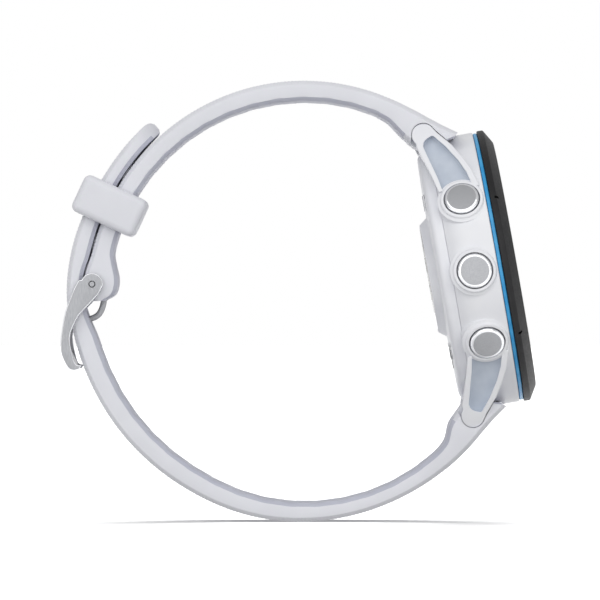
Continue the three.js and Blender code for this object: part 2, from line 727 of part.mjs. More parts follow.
function roundedBlock(x, y, z, radius) {
  const shape = new THREE.Shape();
  const w = x / 2 - radius;
  const d = y / 2 - radius;
  shape.absarc(w, d, radius, 0, Math.PI / 2);
  shape.absarc(-w, d, radius, Math.PI / 2, Math.PI);
  shape.absarc(-w, -d, radius, Math.PI, Math.PI * 1.5);
  shape.absarc(w, -d, radius, Math.PI * 1.5, Math.PI * 2);
  const solid = new THREE.ExtrudeGeometry(shape, { depth: z, bevelEnabled: false, curveSegments: 4 });
  return solid.translate(0, 0, -z / 2);
}

// ---------- assembly ----------

const watch = new THREE.Group();

function add(name, shape, material, parent = watch) {
  const geometry = shape instanceof THREE.BufferGeometry ? shape : geometryOf(shape);
  const mesh = new THREE.Mesh(geometry, material);
  mesh.name = name;
  parent.add(mesh);
  return mesh;
}

add('mid_case', midCase(), whitePlastic);
add('bezel', bezel(), blackPlastic);
add('accent_ring', accentRing(), bluePlastic);
add('lens', lens(), lensGlass);
add('display_panel', displayPanel(), blackPlastic);
add('inner_chassis', chassis(), blackPlastic);
add('main_board', mainBoard(), darkBoard);
add('battery', battery(), batteryFoil);
add('vibration_motor', motor(), steel);
add('back_cover', backCover(), whitePlastic);
add('back_gasket', backGasket(), blackRubber);
add('sensor_window', sensorWindow(), lensGlass);
add('sensor_board', sensorBoard(), darkBoard);
screwPlaces().forEach(([y, z], i) => add(`back_screw_${i + 1}`, screw(y, z), steel));
add('charge_socket', chargeSocket(), blackPlastic);
for (let i = 0; i < 4; i += 1) {
  add(`charge_contact_${i + 1}`, contact(i), goldContact);
}

for (const { name, side, turn } of buttons) {
  add(`${name}_button_cap`, atButton(buttonCap(), side, turn), steel);
  add(`${name}_button_seal`, atButton(buttonSeal(), side, turn), blackRubber);
  add(`${name}_button_clip`, atButton(buttonClip(), side, turn), steel);
  add(`${name}_dome_switch`, atButton(geometryOf(domeSwitch()), side, turn), steel);
}

for (const [end, z] of [['upper', barZ], ['lower', -barZ]]) {
  add(`${end}_bar_tube`, barTube(z), steel);
  add(`${end}_bar_lever`, barLever(z), steel);
  add(`${end}_bar_tip`, barTip(z), steel);
}

add('buckle_strap', buckleBore(buckleStrap()), strapSilicone);
add('hole_strap', holeStrap(), strapSilicone);

const buckle = new THREE.Group();
const [pinX, pinZ] = onLoop(pinRadius, pinAngle);
buckle.position.set(pinX, 0, pinZ);
buckle.rotation.y = -radians(pinAngle);
watch.add(buckle);
add('buckle_frame', buckleFrame(), steel, buckle);
add('buckle_bar', buckleBar(), steel, buckle);
add('buckle_tongue', buckleTongue(), steel, buckle);

const keeperPlace = new THREE.Group();
keeperPlace.position.set(loopX, 0, loopZ);
keeperPlace.rotation.y = -radians(keeperAngle);
watch.add(keeperPlace);
add('keeper_loop', keeper(), strapSilicone, keeperPlace);

// Tilt the watch about its bars and set it down on the floor, centred on the origin.
watch.rotation.y = -radians(displayTilt);
watch.updateMatrixWorld(true);
const bounds = new THREE.Box3().setFromObject(watch, true);
const middle = bounds.getCenter(new THREE.Vector3());
const standing = new THREE.Group();
standing.add(watch);
standing.position.set(-middle.x, -middle.y, -bounds.min.z);

export default standing;
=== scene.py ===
import json
import math

import bpy
from mathutils import Matrix, Vector

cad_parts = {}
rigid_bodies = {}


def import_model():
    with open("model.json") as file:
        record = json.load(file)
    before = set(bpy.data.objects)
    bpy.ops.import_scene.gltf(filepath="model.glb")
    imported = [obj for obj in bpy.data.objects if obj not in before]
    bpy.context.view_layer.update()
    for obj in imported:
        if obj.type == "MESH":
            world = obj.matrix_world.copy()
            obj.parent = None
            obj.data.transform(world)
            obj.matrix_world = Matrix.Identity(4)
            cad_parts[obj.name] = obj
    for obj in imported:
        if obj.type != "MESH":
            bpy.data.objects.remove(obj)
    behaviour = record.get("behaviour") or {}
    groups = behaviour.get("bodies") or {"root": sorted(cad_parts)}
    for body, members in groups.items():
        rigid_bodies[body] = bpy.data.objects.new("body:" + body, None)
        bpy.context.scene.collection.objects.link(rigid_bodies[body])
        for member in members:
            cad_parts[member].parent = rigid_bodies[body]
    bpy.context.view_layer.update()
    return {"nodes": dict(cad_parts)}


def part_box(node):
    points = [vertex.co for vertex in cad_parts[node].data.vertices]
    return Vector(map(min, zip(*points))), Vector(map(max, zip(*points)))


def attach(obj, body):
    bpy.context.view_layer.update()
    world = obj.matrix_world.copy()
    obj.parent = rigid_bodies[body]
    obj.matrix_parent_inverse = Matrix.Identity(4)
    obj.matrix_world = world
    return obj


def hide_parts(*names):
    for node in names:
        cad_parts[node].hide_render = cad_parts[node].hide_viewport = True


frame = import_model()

mm = 0.001
print("frame loaded:", len(frame["nodes"]), "nodes")

# where the case and the loop of the band stand

tilt = math.radians(10.04)  # the display leans back by this much
capLow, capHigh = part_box("up_button_cap")
lensLow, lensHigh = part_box("lens")
caseCentre = Vector(((capLow.x + capHigh.x) / 2, (lensLow.y + lensHigh.y) / 2, (capLow.z + capHigh.z) / 2))
caseMatrix = Matrix.Translation(caseCentre) @ Matrix.Rotation(-tilt, 4, "Y")

case = {  # all in mm, in the case frame: x out of the display, y along the bars, z to 12 o'clock
    "radius": 23.1,
    "bezelRadius": 23.2,
    "bezelShoulder": 5.75,
    "lensRadius": 20.3,
    "lensTop": 7.15,
    "top": 3.92,
    "bottom": -3.8,
    "backFace": -6.15,
    "coverRadius": 20.95,
    "sensorFace": -7.6,
    "sensorRadius": 8.85,
    "cavityRadius": 20.3,
    "lugSpan": 48.0,
    "lugDepth": -4.4,
    "lugTip": 1.95,
    "lugInner": 11.1,
    "buttonFace": 24.0,
    "buttonRadius": 2.9,
    "collarRadius": 3.65,
    "turnedSteps": 160,
}
barZ = case["lugSpan"] / 2

band = {
    "width": 22.0,
    "thickness": 3.5,
    "tailThickness": 2.55,
    "shoulderWidth": 26.4,
    "loopRadius": 32.9,
    "loopRise": 0.71,
    "barSetback": 1.38,
    "chamfer": 0.75,
    "slip": 0.5,
    "gap": 0.3,
    "pinAngle": 166.6,
    "tailAngle": 120.9,
    "keeperAngle": 144.9,
}
loopX = case["lugDepth"] - math.sqrt((band["loopRadius"] + band["barSetback"]) ** 2 - barZ ** 2)
loopZ = band["loopRise"]
outerRadius = band["loopRadius"] + band["thickness"]
tailInner = outerRadius + band["slip"]
pinRadius = outerRadius - 0.65
bulbOuter = pinRadius + 1.35
upperBarAngle = math.degrees(math.atan2(barZ - loopZ, case["lugDepth"] - loopX))
lowerBarAngle = 360 - math.degrees(math.atan2(barZ + loopZ, case["lugDepth"] - loopX))
upperBarLoop = math.hypot(barZ - loopZ, case["lugDepth"] - loopX)
lowerBarLoop = math.hypot(barZ + loopZ, case["lugDepth"] - loopX)


# modelling steps that the pieces share

def only(obj):  # selects one object and makes it active
    bpy.ops.object.select_all(action="DESELECT")
    obj.select_set(True)
    bpy.context.view_layer.objects.active = obj


def applyPlace(obj, matrix=None):
    if matrix is not None:
        obj.matrix_world = matrix @ obj.matrix_world
    only(obj)
    bpy.ops.object.transform_apply(location=True, rotation=True, scale=True)
    return obj


def finishModifier(obj, kind, **settings):
    only(obj)
    modifier = obj.modifiers.new(kind, kind)
    for key, value in settings.items():
        setattr(modifier, key, value)
    bpy.ops.object.modifier_apply(modifier=modifier.name)
    return obj


def softenEdges(obj, width, segments=2, angle=30):
    return finishModifier(obj, "BEVEL", width=width * mm, segments=segments, limit_method="ANGLE",
                          angle_limit=math.radians(angle), use_clamp_overlap=True, harden_normals=False)


def carve(obj, cutter, operation="DIFFERENCE"):
    finishModifier(obj, "BOOLEAN", object=cutter, operation=operation, solver="MANIFOLD")
    bpy.data.objects.remove(cutter, do_unlink=True)
    return obj


def tidyMesh(obj, distance=0.002):
    only(obj)
    bpy.ops.object.mode_set(mode="EDIT")
    bpy.ops.mesh.select_all(action="SELECT")
    bpy.ops.mesh.remove_doubles(threshold=distance * mm)
    bpy.ops.mesh.normals_make_consistent(inside=False)
    bpy.ops.object.mode_set(mode="OBJECT")
    return obj


def startVertex(name, point):  # a plane merged to one vertex, left in edit mode
    bpy.ops.object.select_all(action="DESELECT")
    bpy.ops.mesh.primitive_plane_add(size=mm, location=(0, 0, 0))
    obj = bpy.context.active_object
    obj.name = name
    obj.data.name = name
    bpy.ops.object.mode_set(mode="EDIT")
    bpy.ops.mesh.select_mode(type="VERT")
    bpy.ops.mesh.select_all(action="SELECT")
    bpy.ops.mesh.merge(type="CENTER")
    bpy.ops.transform.translate(value=point)
    return obj


def drawLine(name, points):  # a chain of edges through the points, in mm
    places = [Vector(p) * mm for p in points]
    obj = startVertex(name, places[0])
    for here, there in zip(places, places[1:]):
        bpy.ops.mesh.extrude_region_move(TRANSFORM_OT_translate={"value": there - here})
    return obj


def turned(name, profile, steps=None):  # profile of (radius, x) corners spun round the case axis
    obj = drawLine(name, [(x, 0, r) for r, x in profile])
    bpy.ops.mesh.select_all(action="SELECT")
    bpy.ops.mesh.spin(steps=steps or case["turnedSteps"], angle=2 * math.pi, center=(0, 0, 0), axis=(1, 0, 0))
    bpy.ops.object.mode_set(mode="OBJECT")
    return tidyMesh(obj)


def slab(name, outline, width, middle=0.0):  # an outline in the xz plane given width along y
    obj = drawLine(name, [(x, middle - width / 2, z) for x, z in outline])
    bpy.ops.mesh.select_all(action="SELECT")
    bpy.ops.mesh.edge_face_add()
    bpy.ops.mesh.extrude_region_move(TRANSFORM_OT_translate={"value": (0, width * mm, 0)})
    bpy.ops.object.mode_set(mode="OBJECT")
    return tidyMesh(obj)


def rod(name, start, end, radius, vertices=48):  # a cylinder between two points, in mm
    a, b = Vector(start) * mm, Vector(end) * mm
    bpy.ops.object.select_all(action="DESELECT")
    bpy.ops.mesh.primitive_cylinder_add(vertices=vertices, radius=radius * mm, depth=(b - a).length)
    obj = bpy.context.active_object
    obj.name = name
    turn = Vector((0, 0, 1)).rotation_difference(b - a).to_matrix().to_4x4()
    return applyPlace(obj, Matrix.Translation((a + b) / 2) @ turn)


def block(name, low, high):  # a box between two corners, in mm
    a, b = Vector(low) * mm, Vector(high) * mm
    bpy.ops.object.select_all(action="DESELECT")
    bpy.ops.mesh.primitive_cube_add(size=1, location=(a + b) / 2)
    obj = bpy.context.active_object
    obj.name = name
    obj.scale = b - a
    return applyPlace(obj)


def joined(name, pieces):
    only(pieces[0])
    for piece in pieces:
        piece.select_set(True)
    bpy.ops.object.join()
    pieces[0].name = name
    return pieces[0]


def arc(x, z, radius, start, sweep, pieces):
    turns = [math.radians(start + sweep * i / pieces) for i in range(pieces + 1)]
    return [(x + radius * math.cos(t), z + radius * math.sin(t)) for t in turns]


def mirrored(outline):
    return [(x, -z) for x, z in outline][::-1]


def smoothShade(obj, angle=32):
    only(obj)
    bpy.ops.object.shade_smooth_by_angle(angle=math.radians(angle))
    return obj


def finishPiece(obj, material, body, nodes, matrix=caseMatrix, angle=32):
    applyPlace(obj, matrix)
    smoothShade(obj, angle)
    obj.data.materials.clear()
    obj.data.materials.append(material)
    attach(obj, body)
    if nodes:
        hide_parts(*nodes)
    return obj


def ease(x):  # 0 below 0, 1 above 1, smooth between
    x = min(max(x, 0.0), 1.0)
    return x * x * (3 - 2 * x)


def curveThrough(stations):  # a smooth function through (place, value) stations, in rising order
    places = [s[0] for s in stations]
    values = [s[1] for s in stations]
    count = len(places)
    slopes = []
    for i in range(count):
        low, high = max(i - 1, 0), min(i + 1, count - 1)
        slopes.append((values[high] - values[low]) / (places[high] - places[low]))

    def at(place):
        if place <= places[0]:
            return values[0]
        if place >= places[-1]:
            return values[-1]
        i = next(k for k in range(count - 1) if place <= places[k + 1])
        span = places[i + 1] - places[i]
        t = (place - places[i]) / span
        return ((2 * t ** 3 - 3 * t ** 2 + 1) * values[i] + (t ** 3 - 2 * t ** 2 + t) * span * slopes[i]
                + (3 * t ** 2 - 2 * t ** 3) * values[i + 1] + (t ** 3 - t ** 2) * span * slopes[i + 1])

    return at


# nodes that the materials share

def linear(hexColour):  # an sRGB hex value as linear RGBA
    channels = [int(hexColour[i:i + 2], 16) / 255 for i in (0, 2, 4)]
    return [c / 12.92 if c <= 0.04045 else ((c + 0.055) / 1.055) ** 2.4 for c in channels] + [1.0]


def addNode(material, kind, links=None, **settings):
    tree = material.node_tree
    node = tree.nodes.new("ShaderNode" + kind)
    for key, value in settings.items():
        if key.startswith("in_"):
            name = key[3:]
            socket = node.inputs[int(name)] if name.isdigit() else node.inputs[name.replace("_", " ")]
            socket.default_value = value
        else:
            setattr(node, key, value)
    for socket, source in (links or {}).items():
        tree.links.new(source, node.inputs[socket])
    return node


def newMaterial(name, colour, roughness, metallic=0.0, **settings):
    material = bpy.data.materials.new(name)
    material.use_nodes = True
    shader = material.node_tree.nodes["Principled BSDF"]
    shader.inputs["Base Color"].default_value = linear(colour)
    shader.inputs["Roughness"].default_value = roughness
    shader.inputs["Metallic"].default_value = metallic
    for key, value in settings.items():
        shader.inputs[key.replace("_", " ")].default_value = value
    return material, shader


def noiseOver(material, sizeMm, detail=2.0, stretch=(1, 1, 1), turn=(0, 0, 0)):
    place = addNode(material, "TexCoord")
    mapping = addNode(material, "Mapping", {"Vector": place.outputs["Object"]},
                      in_Scale=stretch, in_Rotation=turn)
    return addNode(material, "TexNoise", {"Vector": mapping.outputs["Vector"]}, in_Scale=1000 / sizeMm,
                   in_Detail=detail, in_Roughness=0.6)


def varyColour(material, shader, noise, dark, light, low=0.35, high=0.65):
    ramp = addNode(material, "ValToRGB", {"Fac": noise.outputs["Fac"]})
    ramp.color_ramp.elements[0].position = low
    ramp.color_ramp.elements[0].color = linear(dark)
    ramp.color_ramp.elements[1].position = high
    ramp.color_ramp.elements[1].color = linear(light)
    material.node_tree.links.new(ramp.outputs["Color"], shader.inputs["Base Color"])
    return ramp


def varyRoughness(material, shader, noise, low, high):
    spread = addNode(material, "MapRange", {"Value": noise.outputs["Fac"]}, in_3=low, in_4=high)
    spread.inputs[1].default_value = 0.3
    spread.inputs[2].default_value = 0.7
    material.node_tree.links.new(spread.outputs["Result"], shader.inputs["Roughness"])


def addBump(material, shader, noise, depthMm, strength=1.0):
    bump = addNode(material, "Bump", {"Height": noise.outputs["Fac"]},
                   in_Distance=depthMm * mm, in_Strength=strength)
    material.node_tree.links.new(bump.outputs["Normal"], shader.inputs["Normal"])
    return bump


# one function for each finish

def fibrePolymer():  # glass-filled nylon case, moulded: clean white with a barely visible fine grain
    material, shader = newMaterial("mouldedWhiteNylon", "f3f4f8", 0.42)
    grain = noiseOver(material, 0.5)
    varyColour(material, shader, noiseOver(material, 9.0), "f0f1f6", "f7f8fb")
    varyRoughness(material, shader, grain, 0.38, 0.5)
    addBump(material, shader, grain, 0.01, 0.35)
    return material


def strapSilicone(name, dark, light):  # moulded silicone: cool pale grey, matt, with a soft sheen
    material, shader = newMaterial(name, light, 0.55, Subsurface_Weight=0.12, Sheen_Weight=0.12)
    shader.inputs["Subsurface Radius"].default_value = (0.0012, 0.001, 0.0012)
    shader.inputs["Subsurface Scale"].default_value = 1.0
    shader.inputs["Sheen Roughness"].default_value = 0.5
    varyColour(material, shader, noiseOver(material, 7.0), dark, light)
    fine = noiseOver(material, 0.35)
    varyRoughness(material, shader, fine, 0.48, 0.62)
    addBump(material, shader, fine, 0.008, 0.4)
    return material


def bezelPolymer():  # spark-textured black polymer: a dark matt face, a little lighter where light grazes it
    material, shader = newMaterial("texturedBlackPolymer", "151517", 0.5, Specular_IOR_Level=0.3)
    grain = noiseOver(material, 0.3)
    varyColour(material, shader, noiseOver(material, 2.5), "121214", "1a1a1c")
    varyRoughness(material, shader, grain, 0.46, 0.6)
    addBump(material, shader, grain, 0.012, 0.5)
    return material


def bluePolymer():  # tinted moulded ring: saturated sky blue with a soft gloss
    material, shader = newMaterial("skyBluePolymer", "36a3dd", 0.35)
    varyColour(material, shader, noiseOver(material, 3.0), "2c9bd8", "44ade4")
    return material


def brushedSteel(name, colour, roughness, grainMm, stretch, turn=(0, 0, 0)):
    material, shader = newMaterial(name, colour, roughness, 1.0)
    lines = noiseOver(material, grainMm, 3.0, stretch, turn)
    varyColour(material, shader, lines, colour, "a0a1a4", 0.3, 0.75)
    varyRoughness(material, shader, lines, roughness - 0.06, roughness + 0.1)
    addBump(material, shader, lines, 0.006, 0.5)
    return material


def satinSteel():  # bead-blasted button faces: even silver grey with a very fine grain
    material, shader = newMaterial("blastedSteel", "98999b", 0.46, 1.0)
    grain = noiseOver(material, 0.12)
    varyColour(material, shader, grain, "929396", "a2a3a6")
    varyRoughness(material, shader, grain, 0.42, 0.54)
    addBump(material, shader, grain, 0.006, 0.5)
    return material


def polishedSteel():  # polished bevels and rims: bright with dark reflections
    material, shader = newMaterial("polishedSteel", "dcdde0", 0.12, 1.0)
    varyRoughness(material, shader, noiseOver(material, 1.5), 0.1, 0.2)
    return material


def darkGlass():  # chemically strengthened glass over an unlit surround
    material, shader = newMaterial("strengthenedGlass", "07090c", 0.06, IOR=1.52, Coat_Weight=0.4)
    varyRoughness(material, shader, noiseOver(material, 20.0), 0.04, 0.08)
    return material


def plainPolymer(name, dark, light, roughness, grainMm=0.6):
    material, shader = newMaterial(name, light, roughness)
    varyColour(material, shader, noiseOver(material, grainMm * 6), dark, light)
    addBump(material, shader, noiseOver(material, grainMm), 0.01, 0.4)
    return material


caseWhite = fibrePolymer()
paintedPocketShade = plainPolymer("pocketPaintedShadeGrey", "bcc5d2", "c8d0db", 0.45)  # painted shade: the pocket floors in the lug sides are the same white polymer, coloured cool grey for the shade in the recess
silicone = strapSilicone("mouldedSilicone", "e7e8ee", "eaebf1")
# painted shade: a darker grey silicone for the strap faces turned into the loop, standing in for the shade
# there
innerShadeSilicone = strapSilicone("innerPaintedShadeSilicone", "c4c6d3", "c9cbd7")
bezelBlack = bezelPolymer()
ringBlue = bluePolymer()
satin = satinSteel()
polished = polishedSteel()
buckleSteel = brushedSteel("brushedBuckleSteel", "858689", 0.4, 0.9, (9, 5, 0.7), (0, 0.2, 0))
smallSteel = brushedSteel("turnedSteel", "a9abae", 0.3, 0.3, (1, 1, 1))
glass = darkGlass()
print("materials made:", len(bpy.data.materials))


# the case middle, with its lugs and button collars

def prism(name, corners, reach):  # a flat outline of 3D corners pushed along a vector, in mm
    obj = drawLine(name, corners)
    bpy.ops.mesh.select_all(action="SELECT")
    bpy.ops.mesh.edge_face_add()
    bpy.ops.mesh.extrude_region_move(TRANSFORM_OT_translate={"value": Vector(reach) * mm})
    bpy.ops.object.mode_set(mode="OBJECT")
    return tidyMesh(obj)


def buttonTurn(side, turn):
    angle = math.pi + math.radians(turn) if side > 0 else -math.radians(turn)
    return Matrix.Rotation(angle, 4, "X")


buttons = [("light", -1, 31.4), ("up", -1, 0), ("down", -1, -31.4), ("start", 1, 31.4), ("back", 1, -31.4)]

lug = {
    "outline": [(3.4, barZ - 10), (2.5, barZ - 7), (1.5, barZ - 5), (0.0, barZ - 2.5), (-2.1, barZ)]
    + arc(case["lugDepth"], barZ, case["lugTip"], 42, 180, 20)
    + [(-5.9, barZ - 1.9), (-5.2, barZ - 4.2), (-4.3, barZ - 7.2), (-3.6, barZ - 10)],
    "pocket": [(-2.7, barZ - 11), (-3.4, barZ - 7.4), (-4.2, barZ - 4.4), (-4.8, barZ - 2.0),
               (-4.6, barZ - 1.2), (-3.9, barZ - 0.7), (-2.9, barZ - 0.3), (-1.1, barZ - 2.5),
               (0.6, barZ - 5.2), (1.6, barZ - 7.4), (2.5, barZ - 11)],
    "pocketDepth": 1.8,
    "slope": 27.0,
    "tipHalf": 12.3,
    "tipReach": 3.0,
    "edge": 0.2,
    "slot": [(-12, barZ + 6), (-12, barZ - 2.95), (case["lugDepth"], barZ - 2.95), (-2.0, barZ - 2.35),
             (0.3, barZ - 1.52), (0.7, barZ - 1.4), (1.5, barZ - 0.6), (1.5, barZ + 6)],
}


def lugPlan(inset):  # both lugs of both ends narrow towards their tips
    tip, root = barZ + lug["tipReach"], case["cavityRadius"] * 0.5
    tipHalf = lug["tipHalf"] - inset
    rootHalf = tipHalf + (tip - root) * math.tan(math.radians(lug["slope"]))
    corners = [(tipHalf, tip), (rootHalf, root), (rootHalf, -root), (tipHalf, -tip),
               (-tipHalf, -tip), (-rootHalf, -root), (-rootHalf, root), (-tipHalf, tip)]
    return prism("lugPlan", [(-12, y, z) for y, z in corners], (24, 0, 0))


def makeCaseBody():
    r, low, top, hollow = case["radius"], case["bottom"], case["top"], case["cavityRadius"]
    flank = curveThrough([(low, r - 1.9), (low + 1.2, r - 0.9), (low + 2.8, r - 0.28), (low + 5.0, r)])
    profile = [(hollow, low)] + [(flank(low + 5.0 * i / 10), low + 5.0 * i / 10) for i in range(11)]
    profile += [(r, top - 0.12), (r - 0.12, top), (hollow - 1, top), (hollow - 1, top - 1.4),
                (hollow, top - 1.4), (hollow, low)]
    body = turned("caseBody", profile)
    wide = 2 * band["width"]
    for mirror in (False, True):
        outline = mirrored(lug["outline"]) if mirror else lug["outline"]
        horn = slab("lug", outline, wide)
        carve(horn, lugPlan(0), "INTERSECT")
        tidyMesh(horn, 0.01)
        softenEdges(horn, lug["edge"], 3, 35)
        carve(horn, rod("hollow", (-12, 0, 0), (12, 0, 0), hollow + 0.5, 96))
        pocket = slab("pocket", mirrored(lug["pocket"]) if mirror else lug["pocket"], wide)
        carve(pocket, lugPlan(lug["pocketDepth"]))
        tidyMesh(pocket, 0.01)
        softenEdges(pocket, 0.3, 3, 35)
        carve(body, horn, "UNION")
        carve(body, pocket)
    collar = case["collarRadius"]
    face = case["buttonFace"] - 0.5
    for _, side, turn in buttons:
        rim = [(2.6, -hollow - 0.6), (collar + 0.55, -hollow - 0.6), (collar + 0.5, -face + 0.62),
               (collar + 0.2, -face + 0.5), (collar + 0.05, -face + 0.38), (collar, -face + 0.22),
               (collar - 0.07, -face + 0.08), (collar - 0.22, -face), (2.6, -face), (2.6, -hollow - 0.6)]
        above = rod("above", (0, -face - 5, 0), (0, -face + 0.02, 0), collar + 0.3, 64)
        carve(body, applyPlace(above, buttonTurn(side, turn)))
        boss = turned("boss", rim, 64)
        applyPlace(boss, buttonTurn(side, turn) @ Matrix.Rotation(math.pi / 2, 4, "Z"))
        tidyMesh(boss)
        carve(body, boss, "UNION")
        bore = rod("bore", (0, -30, 0), (0, -case["buttonFace"] + 2.15, 0), case["buttonRadius"] + 0.2, 64)
        applyPlace(bore, buttonTurn(side, turn))
        carve(body, bore)
    carve(body, rod("step", (-12, 0, 0), (low, 0, 0), case["coverRadius"] + 0.12, 128))
    carve(body, rod("front", (top, 0, 0), (top + 6, 0, 0), r + 3, 64))
    for mirror in (False, True):
        outline = mirrored(lug["slot"]) if mirror else lug["slot"]
        carve(body, slab("slot", outline, 2 * case["lugInner"]))
    tidyMesh(body, 0.004)
    finishPiece(body, caseWhite, "watch_case", ["mid_case"], angle=28)
    # painted shade: the pocket floor faces get a grey slot that stands in for the shade in the recess
    body.data.materials.append(paintedPocketShade)
    intoCase = caseMatrix.inverted()
    for polygon in body.data.polygons:
        x, y, z = [v / mm for v in intoCase @ polygon.center]
        widening = (barZ + lug["tipReach"] - abs(z)) * math.tan(math.radians(lug["slope"]))
        pocketFloor = lug["tipHalf"] - lug["pocketDepth"] + widening
        pocketShadeMask = abs(abs(y) - pocketFloor) < 0.12 and abs(z) > barZ / 2 and x < 2.2
        polygon.material_index = 1 if pocketShadeMask else 0
    return body


caseBody = makeCaseBody()
print("case body:", len(caseBody.data.polygons), "faces")


# bezel, blue ring, cover glass and lit dial

front = {
    "ringLow": 4.0,
    "ringHigh": 4.65,
    "ringRadius": 22.9,
    "ringBore": 20.9,
    "bezelBore": 19.9,
    "bezelLow": 4.73,
    "lensLow": 5.8,
    "notchAngles": (-120, -60, 60, 120),
    "screenRadius": 16.6,
    "panelTop": 5.64,
}


def makeBezel():
    r, inner = case["bezelRadius"], case["lensRadius"] + 0.3
    high, shoulder, low = case["lensTop"], case["bezelShoulder"], front["bezelLow"]
    bore, seat = front["bezelBore"], front["lensLow"] - 0.08
    profile = [(bore, low), (r - 0.1, low), (r, low + 0.1), (r, shoulder - 0.12), (r - 0.08, shoulder + 0.06),
               (inner + 0.35, high - 0.05), (inner + 0.2, high), (inner + 0.05, high - 0.02),
               (inner, high - 0.1), (inner, seat), (bore, seat), (bore, low)]
    ring = turned("bezelRing", profile)
    slope = math.atan2(high - shoulder, r - inner - 0.2)
    for angle in front["notchAngles"]:
        groove = block("groove", (-0.25, -0.22, -1.9), (0.6, 0.22, 0.4))
        onShoulder = Matrix.Translation(Vector((shoulder, 0, r)) * mm) @ Matrix.Rotation(slope, 4, "Y")
        applyPlace(groove, Matrix.Rotation(math.radians(angle), 4, "X") @ onShoulder)
        carve(ring, groove)
    return finishPiece(ring, bezelBlack, "watch_case", ["bezel"])


def makeAccentRing():
    low, high, r, bore = front["ringLow"], front["ringHigh"], front["ringRadius"], front["ringBore"]
    profile = [(bore, low), (r - 0.18, low), (r - 0.04, low + 0.1), (r, low + 0.3), (r - 0.04, high - 0.1),
               (r - 0.15, high), (bore, high), (bore, low)]
    return finishPiece(turned("accentRing", profile), ringBlue, "watch_case", ["accent_ring"])


def makeLens():
    r, low, high = case["lensRadius"], front["lensLow"], case["lensTop"]
    profile = [(0, low), (r - 0.05, low), (r, low + 0.05), (r, high - 0.3), (r - 0.08, high - 0.12),
               (r - 0.3, high - 0.02), (r - 0.6, high), (0, high)]
    cover = turned("coverGlass", profile)
    return finishPiece(cover, glassClear, "watch_case", ["lens"])


glassClear, clearShader = newMaterial("clearCoverGlass", "ffffff", 0.02, IOR=1.5, Transmission_Weight=1.0)
varyRoughness(glassClear, clearShader, noiseOver(glassClear, 20.0), 0.01, 0.03)  # faint polish marks
screenBlack = plainPolymer("screenSurround", "050506", "0a0a0c", 0.25, 1.0)


def glowing(name, colour, strength):
    material, shader = newMaterial(name, "101010", 0.4)
    shader.inputs["Emission Color"].default_value = linear(colour)
    shader.inputs["Emission Strength"].default_value = strength
    varyRoughness(material, shader, noiseOver(material, 0.2), 0.35, 0.45)
    return material


screenWhite = glowing("litPixelsWhite", "f2f5fa", 1.1)
screenBlue = glowing("litPixelsBlue", "2c9be0", 1.1)
screenGrey = glowing("litPixelsGrey", "6d757f", 0.7)


def makeDisplay():
    top = front["panelTop"]
    r = case["cavityRadius"] - 0.8
    panel = turned("displayPanel", [(0, 4.5), (r, 4.5), (r, top - 0.15), (r - 0.15, top), (0, top)])
    finishPiece(panel, screenBlack, "watch_case", ["display_panel"])
    marks = {"hourMarks": [], "minuteMarks": [], "timeDigits": []}
    for i in range(60):
        hour = i % 5 == 0
        long = 1.8 if hour else 0.9
        wide = 0.42 if hour else 0.16
        reach = front["screenRadius"]
        tick = block("tick", (top, -wide / 2, reach - long), (top + 0.03, wide / 2, reach))
        applyPlace(tick, Matrix.Rotation(math.radians(6 * i), 4, "X"))
        marks["hourMarks" if hour else "minuteMarks"].append(tick)
    for start, sweep, radius, key in ((20, 60, 13.0, "hourMarks"), (200, 90, 13.0, "hourMarks")):
        for i in range(int(sweep / 5)):
            dash = block("dash", (top, -0.45, radius - 0.35), (top + 0.03, 0.45, radius))
            applyPlace(dash, Matrix.Rotation(math.radians(start + 5 * i), 4, "X"))
            marks[key].append(dash)
    segments = {  # which bars of a seven-bar figure are lit
        "0": "abcdef", "1": "bc", "2": "abged", "4": "fgbc", "8": "abcdefg",
    }

    def figure(symbol, y, z, tall, group):
        half, bar = tall * 0.27, tall * 0.1
        places = {
            "a": ((y, z + tall / 2), True), "g": ((y, z), True), "d": ((y, z - tall / 2), True),
            "b": ((y + half, z + tall / 4), False), "c": ((y + half, z - tall / 4), False),
            "f": ((y - half, z + tall / 4), False), "e": ((y - half, z - tall / 4), False),
        }
        for key in segments[symbol]:
            (cy, cz), flat = places[key]
            dy, dz = (half - bar * 0.35, bar / 2) if flat else (bar / 2, tall / 4 - bar * 0.35)
            marks[group].append(block("bar", (top, cy - dy, cz - dz), (top + 0.03, cy + dy, cz + dz)))

    for symbol, y in zip("1024", (-7.6, -3.0, 3.0, 7.6)):
        figure(symbol, y, 1.0, 6.4, "timeDigits")
    for dz in (-0.4, 2.4):
        marks["timeDigits"].append(block("colon", (top, -0.35, dz - 0.35), (top + 0.03, 0.35, dz + 0.35)))
    for symbol, y in zip("128", (-2.0, 0.0, 2.0)):
        figure(symbol, y, -7.6, 2.4, "hourMarks")
    for symbol, y in zip("24", (-1.0, 1.0)):
        figure(symbol, y, 8.6, 2.2, "minuteMarks")
    colours = {"hourMarks": screenBlue, "minuteMarks": screenGrey, "timeDigits": screenWhite}
    for name, pieces in marks.items():
        finishPiece(joined(name, pieces), colours[name], "watch_case", [])


makeBezel()
makeAccentRing()
makeLens()
makeDisplay()
print("front made")


# back cover, sensor window and its optics

back = {
    "spigotOuter": 19.4,
    "spigotInner": 18.8,
    "opticsCircle": 4.6,
    "screwHead": 1.35,
    "screwCircle": 16.6,
    "screwAngle": 50,
    "socketY": 3.6,
    "socketZ": 2.0,
    "socketMiddle": -13.6,
}


